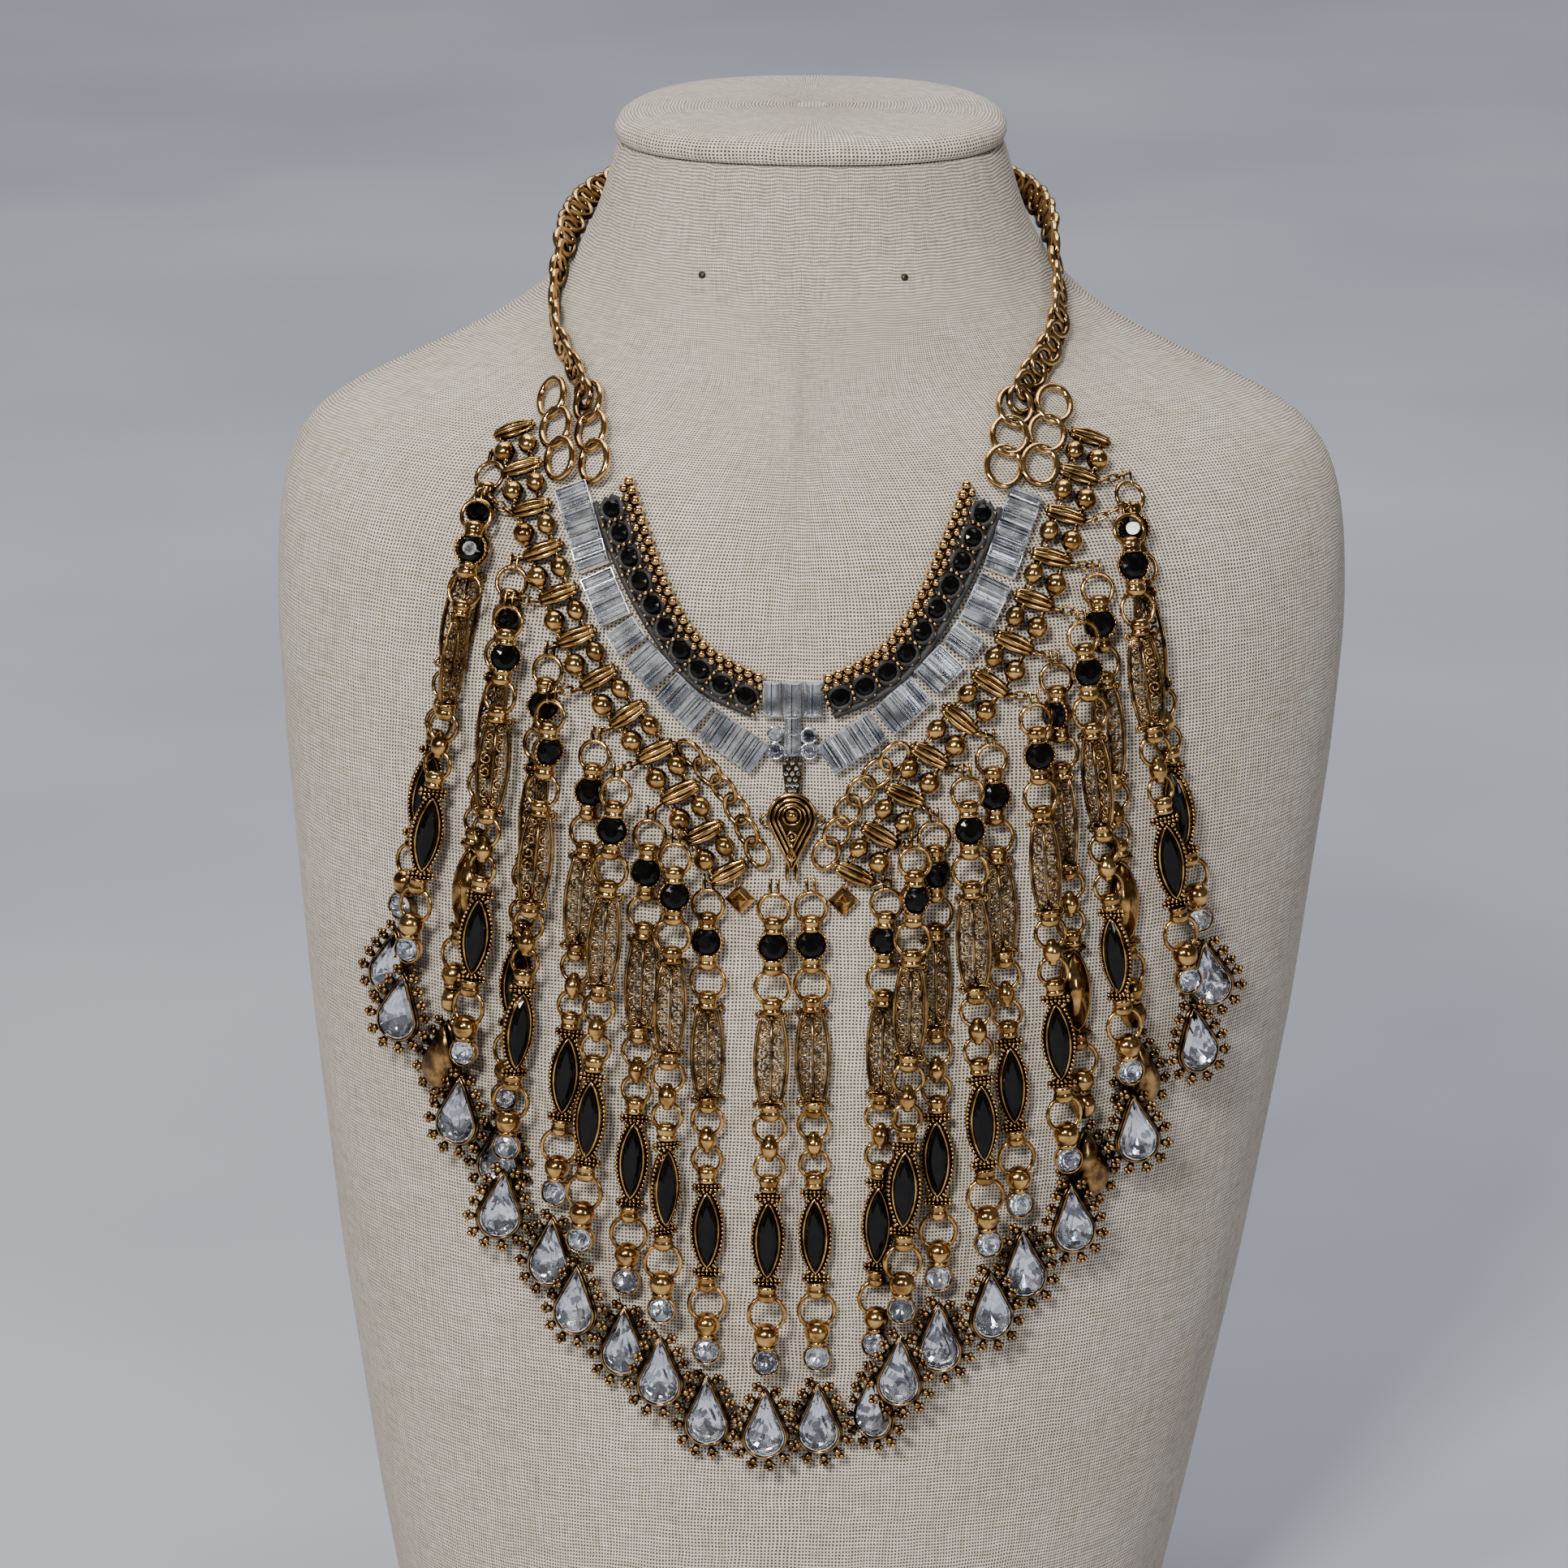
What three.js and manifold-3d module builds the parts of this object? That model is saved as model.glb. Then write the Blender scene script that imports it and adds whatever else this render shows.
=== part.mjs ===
// Bib necklace on a linen neck bust.
// Millimetres, +Z up, the front faces -Y. Left (-X) and right (+X) are as seen from the front.
// The origin is on the flat base of the bust, under the middle of the neck.
import * as THREE from 'three';
import * as BufferGeometryUtils from 'three/addons/utils/BufferGeometryUtils.js';
import Module from 'manifold-3d';

const wasm = await Module();
wasm.setup();

// ---------------------------------------------------------------- driving dimensions

const GAP = 0.3;

// The bust as level sections, from its base to the seam under its cap.
// front and back are measured from the line of its widest points, at y = AXIS_Y.
const AXIS_Y = 6;
const BUST_SECTIONS = [
  { z: 0, halfWidth: 75, front: 84, back: 44, squareness: 2.5, lean: -6 },
  { z: 40, halfWidth: 83, front: 83, back: 45, squareness: 2.5, lean: -5 },
  { z: 90, halfWidth: 92, front: 80, back: 46, squareness: 2.4, lean: -3.4 },
  { z: 143, halfWidth: 99.5, front: 76, back: 46, squareness: 2.3, lean: -1.6 },
  { z: 194, halfWidth: 105, front: 70, back: 46, squareness: 2.2, lean: -0.4 },
  { z: 222, halfWidth: 107, front: 65, back: 46, squareness: 2.1, lean: 0 },
  { z: 240, halfWidth: 106.5, front: 61, back: 45, squareness: 2, lean: 0 },
  { z: 252, halfWidth: 104.5, front: 57, back: 44, squareness: 1.8, lean: 0 },
  { z: 260, halfWidth: 101, front: 54, back: 43, squareness: 1.6, lean: 0 },
  { z: 266, halfWidth: 95, front: 51, back: 42, squareness: 1.45, lean: 0 },
  { z: 271, halfWidth: 84, front: 48, back: 41.5, squareness: 1.35, lean: 0 },
  { z: 277, halfWidth: 70, front: 44, back: 41, squareness: 1.35, lean: 0 },
  { z: 283, halfWidth: 58.5, front: 40, back: 40, squareness: 1.5, lean: 0 },
  { z: 289, halfWidth: 50.5, front: 36, back: 39.5, squareness: 1.75, lean: 0 },
  { z: 296, halfWidth: 45, front: 32, back: 39, squareness: 2.1, lean: 0 },
  { z: 304, halfWidth: 41.5, front: 29, back: 38.5, squareness: 2.3, lean: 0 },
  { z: 317, halfWidth: 38, front: 27, back: 37.5, squareness: 2.4, lean: 0 },
];
const BUST_SIDES = 32;

// The padded cap: rings of its rounded rim and low dome, as a share of the seam's outline.
const CAP_RINGS = [
  { rise: GAP, share: 0.985 },
  { rise: 2.2, share: 1.012 },
  { rise: 4.2, share: 0.985 },
  { rise: 5.4, share: 0.9 },
  { rise: 6.4, share: 0.6 },
  { rise: 6.8, share: 0.25 },
];

// Routes of the left half of the collar, as seen from the front. The right half mirrors them.
const EDGE_ROUTE = [
  { x: -32.6, z: 258.6 },
  { x: -28.7, z: 249 },
  { x: -25.4, z: 241.5 },
  { x: -22, z: 235.5 },
  { x: -18, z: 230.6 },
  { x: -13, z: 227.2 },
  { x: -7.2, z: 224.6 },
];
const BRAID_ROUTE = [
  { x: -36, z: 256 },
  { x: -32, z: 247 },
  { x: -27.1, z: 238 },
  { x: -20.7, z: 229 },
  { x: -14.6, z: 224.2 },
  { x: -7.4, z: 221 },
];
const BAGUETTE_ROUTE = [
  { x: -43.6, z: 257.6 },
  { x: -38.5, z: 244 },
  { x: -33.6, z: 234 },
  { x: -27.2, z: 226.3 },
  { x: -18.6, z: 218.4 },
  { x: -5.8, z: 209.6 },
];
const LADDER_ROUTE = [
  { x: -55.2, z: 264.6 },
  { x: -51, z: 252.7 },
  { x: -45.6, z: 239.3 },
  { x: -38.3, z: 225.2 },
  { x: -27.2, z: 211.9 },
  { x: -17.6, z: 196.6 },
  { x: -12, z: 188 },
];
const LACE_ROUTE = [
  { x: -19.2, z: 210.6 },
  { x: -12.8, z: 203.6 },
  { x: -8.6, z: 196 },
  { x: -6.4, z: 190.4 },
];
const INNER_LINKS_ROUTE = [
  { x: -40.9, z: 272 },
  { x: -38.6, z: 259.6 },
];
const OUTER_LINKS_ROUTE = [
  { x: -48.5, z: 271.8 },
  { x: -45.3, z: 259.2 },
];
// The neck chain goes round the neck: angle 0 is the side of the neck, 90 its front, -90 its back.
const NECK_CHAIN_ROUTE = [
  { angle: -84, z: 304 },
  { angle: -60, z: 304 },
  { angle: -30, z: 303 },
  { angle: -5, z: 300.5 },
  { angle: 10, z: 296.5 },
  { angle: 22, z: 290.5 },
  { angle: 34, z: 283.6 },
  { angle: 46, z: 276.8 },
  { angle: 50, z: 273.8 },
];

// Chain and collar sizes.
const NECK_LINK = { length: 6.4, width: 5, thickness: 1.6, pitch: 5 };
const NECK_CLEARANCE = 1.3;
const CURB_LINK = { length: 7, width: 6.2, wire: 1.3, count: 3 };
const LACE_LINK = { length: 5.6, width: 4.4, wire: 1, count: 5 };
const LINK_TWIST = 0.18;
const CLASP = { diameter: 3.6, length: 4, sides: 10 };
const EDGE = { width: 1.9, sides: 6, steps: 14 };
const BRAID_STONE = { diameter: 3.7, height: 2.4, count: 10 };
const BRAID_RIBBON = { width: 2, thickness: 1.2 };
const BAGUETTE = { length: 6.4, width: 1.9, height: 2.2, pitch: 2.48, inset: 0.2 };
const BAGUETTE_BASE = 1;
const BAGUETTE_GROUPS = [7, 4, 2, 3, 4, 5];
const LADDER_BAR = { length: 7, width: 3, height: 2.6, count: 12 };
const LADDER_BALL = { diameter: 3.4, thickness: 2.7, thread: 1.1, reach: 2.3, overlap: 0.4 };

// Centre piece.
const CLUSTER_Z = 217.2;
// Its stones and the plates that they are soldered to, about the middle of the cluster.
const CLUSTER_STONES = [
  { x: -3.85, y: 4, width: 3.4, length: 6.8, height: 2.4 },
  { x: 0, y: 4, width: 3.4, length: 6.8, height: 2.4 },
  { x: 3.85, y: 4, width: 3.4, length: 6.8, height: 2.4 },
  { x: 0, y: -3.4, width: 3.4, length: 7.6, height: 2.4 },
];
const CLUSTER_PLATES = [
  { x: 0, y: 4, width: 11.2, length: 6.4, height: 1.4 },
  { x: 0, y: 0, width: 11.4, length: 1.4, height: 1.2 },
  { x: 0, y: -3.8, width: 8.6, length: 6, height: 1.6 },
];
const TAPER = { top: 209.2, bottom: 203.2, topWidth: 4, bottomWidth: 2.6, height: 2 };
const MEDALLION = { z: 195.6, width: 9.6, length: 14.6 };
// The medallion's layers, each a share of its outline, by their heights about the collar's.
const MEDALLION_LAYERS = [
  { share: 1, from: -1.5, to: 0 },
  { share: 0.72, from: -0.5, to: 1 },
  { share: 0.4, from: 0.5, to: 1.9 },
];
const STUD = { x: 9.8, z: 182.6, side: 3.6, base: 1, baseDrop: 0.8, height: 2.4, spread: 4.7 };

// Heights above the linen, measured to the middle of each piece.
const COLLAR_LIFT = 2.2;
const NEAR_LIFT = 2.4;
const FAR_LIFT = 6.2;

// One fringe strand, from its top link down: where each piece's middle is, in millimetres of thread.
const STRAND_LENGTH = 117;
const STRAND_PIECES = [
  { name: 'ring', at: 5.8, length: 6.6, width: 6.1 },
  { name: 'round stone', at: 12.8, length: 7, width: 6.7 },
  { name: 'ring', at: 20.8, length: 7.6, width: 7.2 },
  { name: 'filigree plate', at: 35, length: 19.4, width: 6.7 },
  { name: 'ring', at: 48.3, length: 6.8, width: 6.6 },
  { name: 'ring', at: 56.2, length: 7.4, width: 6.1 },
  { name: 'navette', at: 70.6, length: 20.4, width: 6.4 },
  { name: 'ring', at: 85.6, length: 8, width: 7.4 },
  { name: 'round stone', at: 94.9, length: 6.6, width: 5.9 },
];
// The drop at the strand's end, down to its round bottom.
const STRAND_DROP = [
  { at: 102.6, width: 6.2 },
  { at: 107.6, width: 9.4 },
  { at: 113.2, width: 8.8 },
  { at: 117, width: 3.6 },
];
const STRAND_START = 2.4;
const NECK_WIDTH = 2.4;
const SHOULDER_SHARE = 0.26;
const PLATE_THICKNESS = 2.8;
const RING_THICKNESS = 2.2;

// Where each strand hangs from and where its drop ends, seen from the front; 1 is the outermost.
const LEFT_STRANDS = [
  { topX: -58.6, topZ: 259.6, tipX: -78.5, tipZ: 153.5 },
  { topX: -57.4, topZ: 251.4, tipX: -71.8, tipZ: 146 },
  { topX: -53, topZ: 243.6, tipX: -67.4, tipZ: 137.8 },
  { topX: -51.3, topZ: 236.5, tipX: -60.6, tipZ: 128 },
  { topX: -46, topZ: 229, tipX: -56.2, tipZ: 119.8 },
  { topX: -43.4, topZ: 220.5, tipX: -53, tipZ: 110.3 },
  { topX: -37, topZ: 214, tipX: -46.4, tipZ: 101 },
  { topX: -31.5, topZ: 207, tipX: -39.4, tipZ: 92.6 },
  { topX: -26.6, topZ: 199.6, tipX: -32.2, tipZ: 84.2 },
  { topX: -21, topZ: 195.4, tipX: -24, tipZ: 79.6 },
  { topX: -15.8, topZ: 187, tipX: -15.8, tipZ: 71 },
  { topX: -3, topZ: 186.8, tipX: -4.6, tipZ: 69.6 },
];
const RIGHT_STRANDS = [
  { topX: 62.2, topZ: 257.4, tipX: 79, tipZ: 153.6 },
  { topX: 59, topZ: 250.6, tipX: 72, tipZ: 142 },
  { topX: 56, topZ: 243.6, tipX: 65.4, tipZ: 136.6 },
  { topX: 51.2, topZ: 235.4, tipX: 61.6, tipZ: 126.2 },
  { topX: 48.6, topZ: 228.6, tipX: 55.8, tipZ: 119.6 },
  { topX: 43.2, topZ: 221.2, tipX: 50.5, tipZ: 109.4 },
  { topX: 36.8, topZ: 214.6, tipX: 44.4, tipZ: 99.8 },
  { topX: 31.4, topZ: 208.2, tipX: 36.3, tipZ: 93 },
  { topX: 26.6, topZ: 200, tipX: 28.4, tipZ: 86.2 },
  { topX: 22.6, topZ: 195.4, tipX: 19.8, tipZ: 80.6 },
  { topX: 18, topZ: 187.6, tipX: 16, tipZ: 73 },
  { topX: 3.6, topZ: 187, tipX: 5.8, tipZ: 69.8 },
];

const LINEN = new THREE.MeshStandardMaterial({ color: 0xd3cabb, roughness: 0.9, metalness: 0 });
const BRIGHT_GOLD = new THREE.MeshStandardMaterial({ color: 0xc8925c, roughness: 0.28, metalness: 1 });
const ANTIQUE_GOLD = new THREE.MeshStandardMaterial({ color: 0xa37a45, roughness: 0.38, metalness: 1 });
const BLACK_STONE = new THREE.MeshStandardMaterial({ color: 0x0c0c0e, roughness: 0.15, metalness: 0 });
const CRYSTAL = new THREE.MeshStandardMaterial({ color: 0xc3ceda, roughness: 0.08, metalness: 0.2 });

// ---------------------------------------------------------------- the bust's surface

// The bust's level section at height z, between the rows of BUST_SECTIONS.
function sectionAt(z) {
  const last = BUST_SECTIONS.length - 1;
  const above = BUST_SECTIONS.findIndex((row) => row.z >= z);
  const upper = BUST_SECTIONS[above < 0 ? last : Math.max(above, 1)];
  const lower = BUST_SECTIONS[BUST_SECTIONS.indexOf(upper) - 1];
  const share = THREE.MathUtils.clamp((z - lower.z) / (upper.z - lower.z), 0, 1);
  const section = {};
  for (const key of Object.keys(upper)) {
    section[key] = THREE.MathUtils.lerp(lower[key], upper[key], share);
  }
  return section;
}

// A point on the section at an angle from its side: 90 degrees is the front, -90 the back.
function pointRound(z, degrees, side, lift) {
  const section = sectionAt(z);
  const angle = THREE.MathUtils.degToRad(degrees);
  const power = 2 / section.squareness;
  const depth = Math.sin(angle) > 0 ? section.front : section.back;
  const across = Math.sign(Math.cos(angle)) * Math.abs(Math.cos(angle)) ** power;
  const forward = Math.sign(Math.sin(angle)) * Math.abs(Math.sin(angle)) ** power;
  const x = section.lean + side * across * (section.halfWidth + lift);
  return new THREE.Vector3(x, AXIS_Y - forward * (depth + lift), z);
}

// The front surface's y at a place seen from the front.
function frontY(x, z) {
  const section = sectionAt(z);
  const across = Math.min(Math.abs(x - section.lean) / section.halfWidth, 0.999);
  const forward = (1 - across ** section.squareness) ** (1 / section.squareness);
  return AXIS_Y - section.front * forward;
}

function frontNormal(x, z) {
  const step = 2;
  const slopeX = (frontY(x + step, z) - frontY(x - step, z)) / (2 * step);
  const slopeZ = (frontY(x, z + step) - frontY(x, z - step)) / (2 * step);
  return new THREE.Vector3(slopeX, -1, slopeZ).normalize();
}

function onFront(x, z, lift) {
  const point = new THREE.Vector3(x, frontY(x, z), z);
  return point.addScaledVector(frontNormal(x, z), lift);
}

// A route over the bust's front through places seen from the front, at one height above the linen.
class FrontCurve extends THREE.Curve {
  constructor(route, side, lift) {
    super();
    const points = route.map((place) => new THREE.Vector3(side * Math.abs(place.x), 0, place.z));
    this.flat = new THREE.CatmullRomCurve3(points, false, 'centripetal');
    this.lift = lift;
  }

  getPoint(t, target = new THREE.Vector3()) {
    const flat = this.flat.getPoint(t);
    return target.copy(onFront(flat.x, flat.z, this.lift));
  }
}

// The frame of a piece at a share of a curve: X across the route, Y back up it, Z out of the linen.
function frameOn(curve, share) {
  const origin = curve.getPointAt(share);
  const up = curve.getTangentAt(share).negate();
  const out = frontNormal(origin.x, origin.z);
  const across = new THREE.Vector3().crossVectors(up, out).normalize();
  out.crossVectors(across, up).normalize();
  return new THREE.Matrix4().makeBasis(across, up, out).setPosition(origin);
}

// ---------------------------------------------------------------- solids

function toManifold(geometry, matrix = new THREE.Matrix4()) {
  const bare = geometry.clone();
  bare.deleteAttribute('normal');
  bare.deleteAttribute('uv');
  const merged = BufferGeometryUtils.mergeVertices(bare, 1e-4);
  merged.applyMatrix4(matrix);
  const vertProperties = new Float32Array(merged.attributes.position.array);
  const triVerts = new Uint32Array(merged.index.array);
  return new wasm.Manifold(new wasm.Mesh({ numProp: 3, vertProperties, triVerts }));
}

function joined(solids) {
  return solids.reduce((whole, solid) => whole.add(solid));
}

function meshOf(name, solid, material) {
  const data = solid.getMesh();
  const geometry = new THREE.BufferGeometry();
  const positions = new Float32Array((data.vertProperties.length / data.numProp) * 3);
  for (let vertex = 0; vertex < positions.length / 3; vertex += 1) {
    for (let axis = 0; axis < 3; axis += 1) {
      positions[vertex * 3 + axis] = data.vertProperties[vertex * data.numProp + axis];
    }
  }
  geometry.setAttribute('position', new THREE.BufferAttribute(positions, 3));
  geometry.setIndex(new THREE.BufferAttribute(new Uint32Array(data.triVerts), 1));
  const mesh = new THREE.Mesh(geometry, material);
  mesh.name = name;
  return mesh;
}

// A flat outline given as [x, y] corners, made into a plate whose middle plane is z = 0.
function plate(corners, thickness) {
  const shape = new THREE.Shape(corners.map(([x, y]) => new THREE.Vector2(x, y)));
  const geometry = new THREE.ExtrudeGeometry(shape, { depth: thickness, bevelEnabled: false });
  return geometry.translate(0, 0, -thickness / 2);
}

function ovalCorners(width, length, sides) {
  const corners = [];
  for (let side = 0; side < sides; side += 1) {
    const angle = ((side + 0.5) / sides) * 2 * Math.PI;
    const grow = 1 / Math.cos(Math.PI / sides);
    corners.push([(grow * width * Math.cos(angle)) / 2, (grow * length * Math.sin(angle)) / 2]);
  }
  return corners;
}

// A drop with a narrow top and a round bottom, about its middle.
function dropCorners(width, length) {
  const half = length / 2;
  const radius = width / 2;
  const tip = 1.2;
  const flank = { x: radius * 0.72, y: half * 0.2 };
  const arcSteps = 4;
  const corners = [[-tip, half], [-flank.x, flank.y]];
  for (let step = 0; step <= arcSteps; step += 1) {
    const angle = Math.PI + (step / arcSteps) * Math.PI;
    corners.push([radius * Math.cos(angle), radius - half + radius * Math.sin(angle)]);
  }
  corners.push([flank.x, flank.y], [tip, half]);
  return corners;
}

// An open oval link of flat wire, with a square hole.
function link(width, length, wire) {
  const outer = ovalCorners(width, length, 8).map(([x, y]) => new THREE.Vector2(x, y));
  const inner = ovalCorners(width - 2 * wire, length - 2 * wire, 4);
  const shape = new THREE.Shape(outer);
  shape.holes.push(new THREE.Path(inner.map(([x, y]) => new THREE.Vector2(x, y))));
  const geometry = new THREE.ExtrudeGeometry(shape, { depth: wire, bevelEnabled: false });
  return geometry.translate(0, 0, -wire / 2);
}

// A bar of oblong section along a curve: each station has a place, a width and a thickness.
function swept(curve, length, stations, frameAt) {
  const rings = stations.map((station) => {
    const frame = frameAt(curve, THREE.MathUtils.clamp(station.at / length, 0, 1));
    const halfWidth = station.width / 2;
    const halfThickness = station.thickness / 2;
    const corners = [[-1, -1], [-1, 1], [1, 1], [1, -1]];
    return corners.map(([across, out]) => (
      new THREE.Vector3(across * halfWidth, 0, out * halfThickness).applyMatrix4(frame)
    ));
  });
  return loft(rings);
}

// Rings of points in order, closed by a flat face at each end, as one solid.
function loft(rings) {
  const positions = [];
  const index = [];
  const sides = rings[0].length;
  for (const ring of rings) {
    for (const point of ring) {
      positions.push(point.x, point.y, point.z);
    }
  }
  for (let row = 0; row < rings.length - 1; row += 1) {
    for (let side = 0; side < sides; side += 1) {
      const a = row * sides + side;
      const b = row * sides + ((side + 1) % sides);
      index.push(a, a + sides, b, b, a + sides, b + sides);
    }
  }
  const top = (rings.length - 1) * sides;
  for (let side = 1; side < sides - 1; side += 1) {
    index.push(0, side, side + 1, top, top + side + 1, top + side);
  }
  const geometry = new THREE.BufferGeometry();
  geometry.setAttribute('position', new THREE.Float32BufferAttribute(positions, 3));
  geometry.setIndex(index);
  return geometry;
}

function ringRound(z, share, height) {
  const middle = new THREE.Vector3(sectionAt(z).lean, AXIS_Y, height);
  const ring = [];
  for (let side = 0; side < BUST_SIDES; side += 1) {
    const point = pointRound(z, 90 - (side / BUST_SIDES) * 360, -1, 0);
    point.z = height;
    ring.push(middle.clone().lerp(point, share));
  }
  return ring;
}

// ---------------------------------------------------------------- pieces

function bust() {
  const rings = BUST_SECTIONS.map((row) => ringRound(row.z, 1, row.z));
  return meshOf('bust', toManifold(loft(rings)), LINEN);
}

function bustCap() {
  const seam = BUST_SECTIONS[BUST_SECTIONS.length - 1].z;
  const rings = CAP_RINGS.map((row) => ringRound(seam, row.share, seam + row.rise));
  return meshOf('bust_cap', toManifold(loft(rings)), LINEN);
}

function neckCurve(side) {
  const lift = NECK_LINK.width / 2 + NECK_CLEARANCE;
  const points = NECK_CHAIN_ROUTE.map((row) => pointRound(row.z, row.angle, side, lift));
  return new THREE.CatmullRomCurve3(points, false, 'centripetal');
}

// The same frame everywhere on a straight thread.
function straightFrame(line, share) {
  return new THREE.Matrix4().setPosition(line.getPointAt(share));
}

// The frame of a piece on the neck chain: Z points away from the neck's axis.
function neckFrame(curve, share) {
  const origin = curve.getPointAt(share);
  const up = curve.getTangentAt(share).negate();
  const out = origin.clone().sub(new THREE.Vector3(0, AXIS_Y, 0)).setZ(0).normalize();
  const across = new THREE.Vector3().crossVectors(up, out).normalize();
  out.crossVectors(across, up);
  return new THREE.Matrix4().makeBasis(across, up, out).setPosition(origin);
}

// The neck chain of one side: links in turn flat and on edge, joined along their thread.
function neckChain(name, side) {
  const curve = neckCurve(side);
  const length = curve.getLength();
  const count = Math.round(length / NECK_LINK.pitch);
  const { width, thickness } = NECK_LINK;
  const stations = [];
  for (let number = 0; number < count; number += 1) {
    const start = (number / count) * length;
    const isFlat = number % 2 === 0;
    const edgeThickness = width * 0.8;
    stations.push({ at: start, width: thickness, thickness });
    stations.push({
      at: start + length / count / 2,
      width: isFlat ? width : thickness,
      thickness: isFlat ? thickness : edgeThickness,
    });
  }
  stations.push({ at: length, width: thickness, thickness });
  return meshOf(name, toManifold(swept(curve, length, stations, neckFrame)), BRIGHT_GOLD);
}

// A plain barrel at the nape, where both neck chains end.
function clasp() {
  const { z } = NECK_CHAIN_ROUTE[0];
  const place = pointRound(z, -90, 1, NECK_LINK.width / 2 + NECK_CLEARANCE);
  const radius = CLASP.diameter / 2;
  const barrel = new THREE.CylinderGeometry(radius, radius, CLASP.length, CLASP.sides);
  barrel.rotateZ(Math.PI / 2);
  barrel.translate(place.x, place.y, place.z);
  return meshOf('clasp', toManifold(barrel), BRIGHT_GOLD);
}

// Open links in a row along a route, joined where each goes through the next.
function linkRow(name, route, side, size, material) {
  const curve = new FrontCurve(route, side, COLLAR_LIFT);
  const solids = [];
  for (let number = 0; number < size.count; number += 1) {
    const frame = frameOn(curve, (number + 0.5) / size.count);
    const twist = number % 2 === 0 ? LINK_TWIST : -LINK_TWIST;
    frame.multiply(new THREE.Matrix4().makeRotationY(twist));
    solids.push(toManifold(link(size.width, size.length, size.wire), frame));
  }
  return meshOf(name, joined(solids), material);
}

// The serrated gold edge of the neckline, a fine chain drawn as one tube.
function edgeChain(name, side) {
  const curve = new FrontCurve(EDGE_ROUTE, side, COLLAR_LIFT);
  const outline = ovalCorners(EDGE.width, EDGE.width, EDGE.sides);
  const shape = new THREE.Shape(outline.map(([x, y]) => new THREE.Vector2(x, y)));
  const geometry = new THREE.ExtrudeGeometry(shape, { steps: EDGE.steps, extrudePath: curve });
  return meshOf(name, toManifold(geometry), BRIGHT_GOLD);
}

// Black stones on a ribbon.
function braid(name, side) {
  const curve = new FrontCurve(BRAID_ROUTE, side, COLLAR_LIFT);
  const length = curve.getLength();
  const pitch = length / BRAID_STONE.count;
  const { diameter, height } = BRAID_STONE;
  const stations = [];
  for (let number = 0; number < BRAID_STONE.count; number += 1) {
    const middle = (number + 0.5) * pitch;
    stations.push({ at: middle - diameter / 2, ...BRAID_RIBBON });
    stations.push({ at: middle - diameter / 4, width: diameter, thickness: height });
    stations.push({ at: middle + diameter / 4, width: diameter, thickness: height });
    stations.push({ at: middle + diameter / 2, ...BRAID_RIBBON });
  }
  return meshOf(name, toManifold(swept(curve, length, stations, frameOn)), BLACK_STONE);
}

// The baguette strip of one side: rigid groups of upright stones, each group soldered as one.
function baguetteGroups(side, sideName) {
  const curve = new FrontCurve(BAGUETTE_ROUTE, side, COLLAR_LIFT);
  const total = curve.getLength();
  const stones = BAGUETTE_GROUPS.reduce((sum, count) => sum + count, 0);
  const space = (total - stones * BAGUETTE.pitch) / BAGUETTE_GROUPS.length;
  const meshes = [];
  let start = space / 2;
  BAGUETTE_GROUPS.forEach((count, group) => {
    const length = count * BAGUETTE.pitch;
    const frame = frameOn(curve, (start + length / 2) / total);
    const baseLength = length - GAP;
    const base = new THREE.BoxGeometry(BAGUETTE.length, baseLength, BAGUETTE_BASE);
    base.translate(0, 0, (BAGUETTE_BASE - BAGUETTE.height) / 2);
    const solids = [toManifold(base, frame)];
    for (let number = 0; number < count; number += 1) {
      const stoneLength = BAGUETTE.length - 2 * BAGUETTE.inset;
      const stone = new THREE.BoxGeometry(stoneLength, BAGUETTE.width, BAGUETTE.height);
      stone.translate(0, (number + 0.5 - count / 2) * BAGUETTE.pitch, BAGUETTE.inset);
      solids.push(toManifold(stone, frame));
    }
    meshes.push(meshOf(`baguettes_${sideName}_${group + 1}`, joined(solids), CRYSTAL));
    start += length + space;
  });
  return meshes;
}

// The ladder under the strip: ridged bars, with two rows of balls on threads between them.
function ladder(name, side) {
  const curve = new FrontCurve(LADDER_ROUTE, side, COLLAR_LIFT);
  const pitch = curve.getLength() / (LADDER_BAR.count - 1);
  const solids = [];
  for (let number = 0; number < LADDER_BAR.count; number += 1) {
    const bar = new THREE.BoxGeometry(LADDER_BAR.length, LADDER_BAR.width, LADDER_BAR.height);
    solids.push(toManifold(bar, frameOn(curve, number / (LADDER_BAR.count - 1))));
  }
  const { diameter, thickness, thread, reach, overlap } = LADDER_BALL;
  const length = pitch - LADDER_BAR.width + 2 * overlap;
  const stations = [
    { at: 0, width: thread, thickness: thread },
    { at: length / 2 - diameter / 4, width: diameter, thickness },
    { at: length / 2 + diameter / 4, width: diameter, thickness },
    { at: length, width: thread, thickness: thread },
  ];
  const upper = new THREE.Vector3(0, length / 2, 0);
  const straight = new THREE.LineCurve3(upper, upper.clone().negate());
  for (let number = 0; number < LADDER_BAR.count - 1; number += 1) {
    const frame = frameOn(curve, (number + 0.5) / (LADDER_BAR.count - 1));
    for (const edge of [-1, 1]) {
      const ball = swept(straight, length, stations, straightFrame);
      ball.translate(edge * reach, 0, 0);
      solids.push(toManifold(ball, frame));
    }
  }
  return meshOf(name, joined(solids), ANTIQUE_GOLD);
}

// A frame on the centre line of the chest, upright.
function centreFrame(x, z, lift) {
  const curve = new FrontCurve([{ x, z: z + 2 }, { x, z: z - 2 }], Math.sign(x) || 1, lift);
  return frameOn(curve, 0.5);
}

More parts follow.
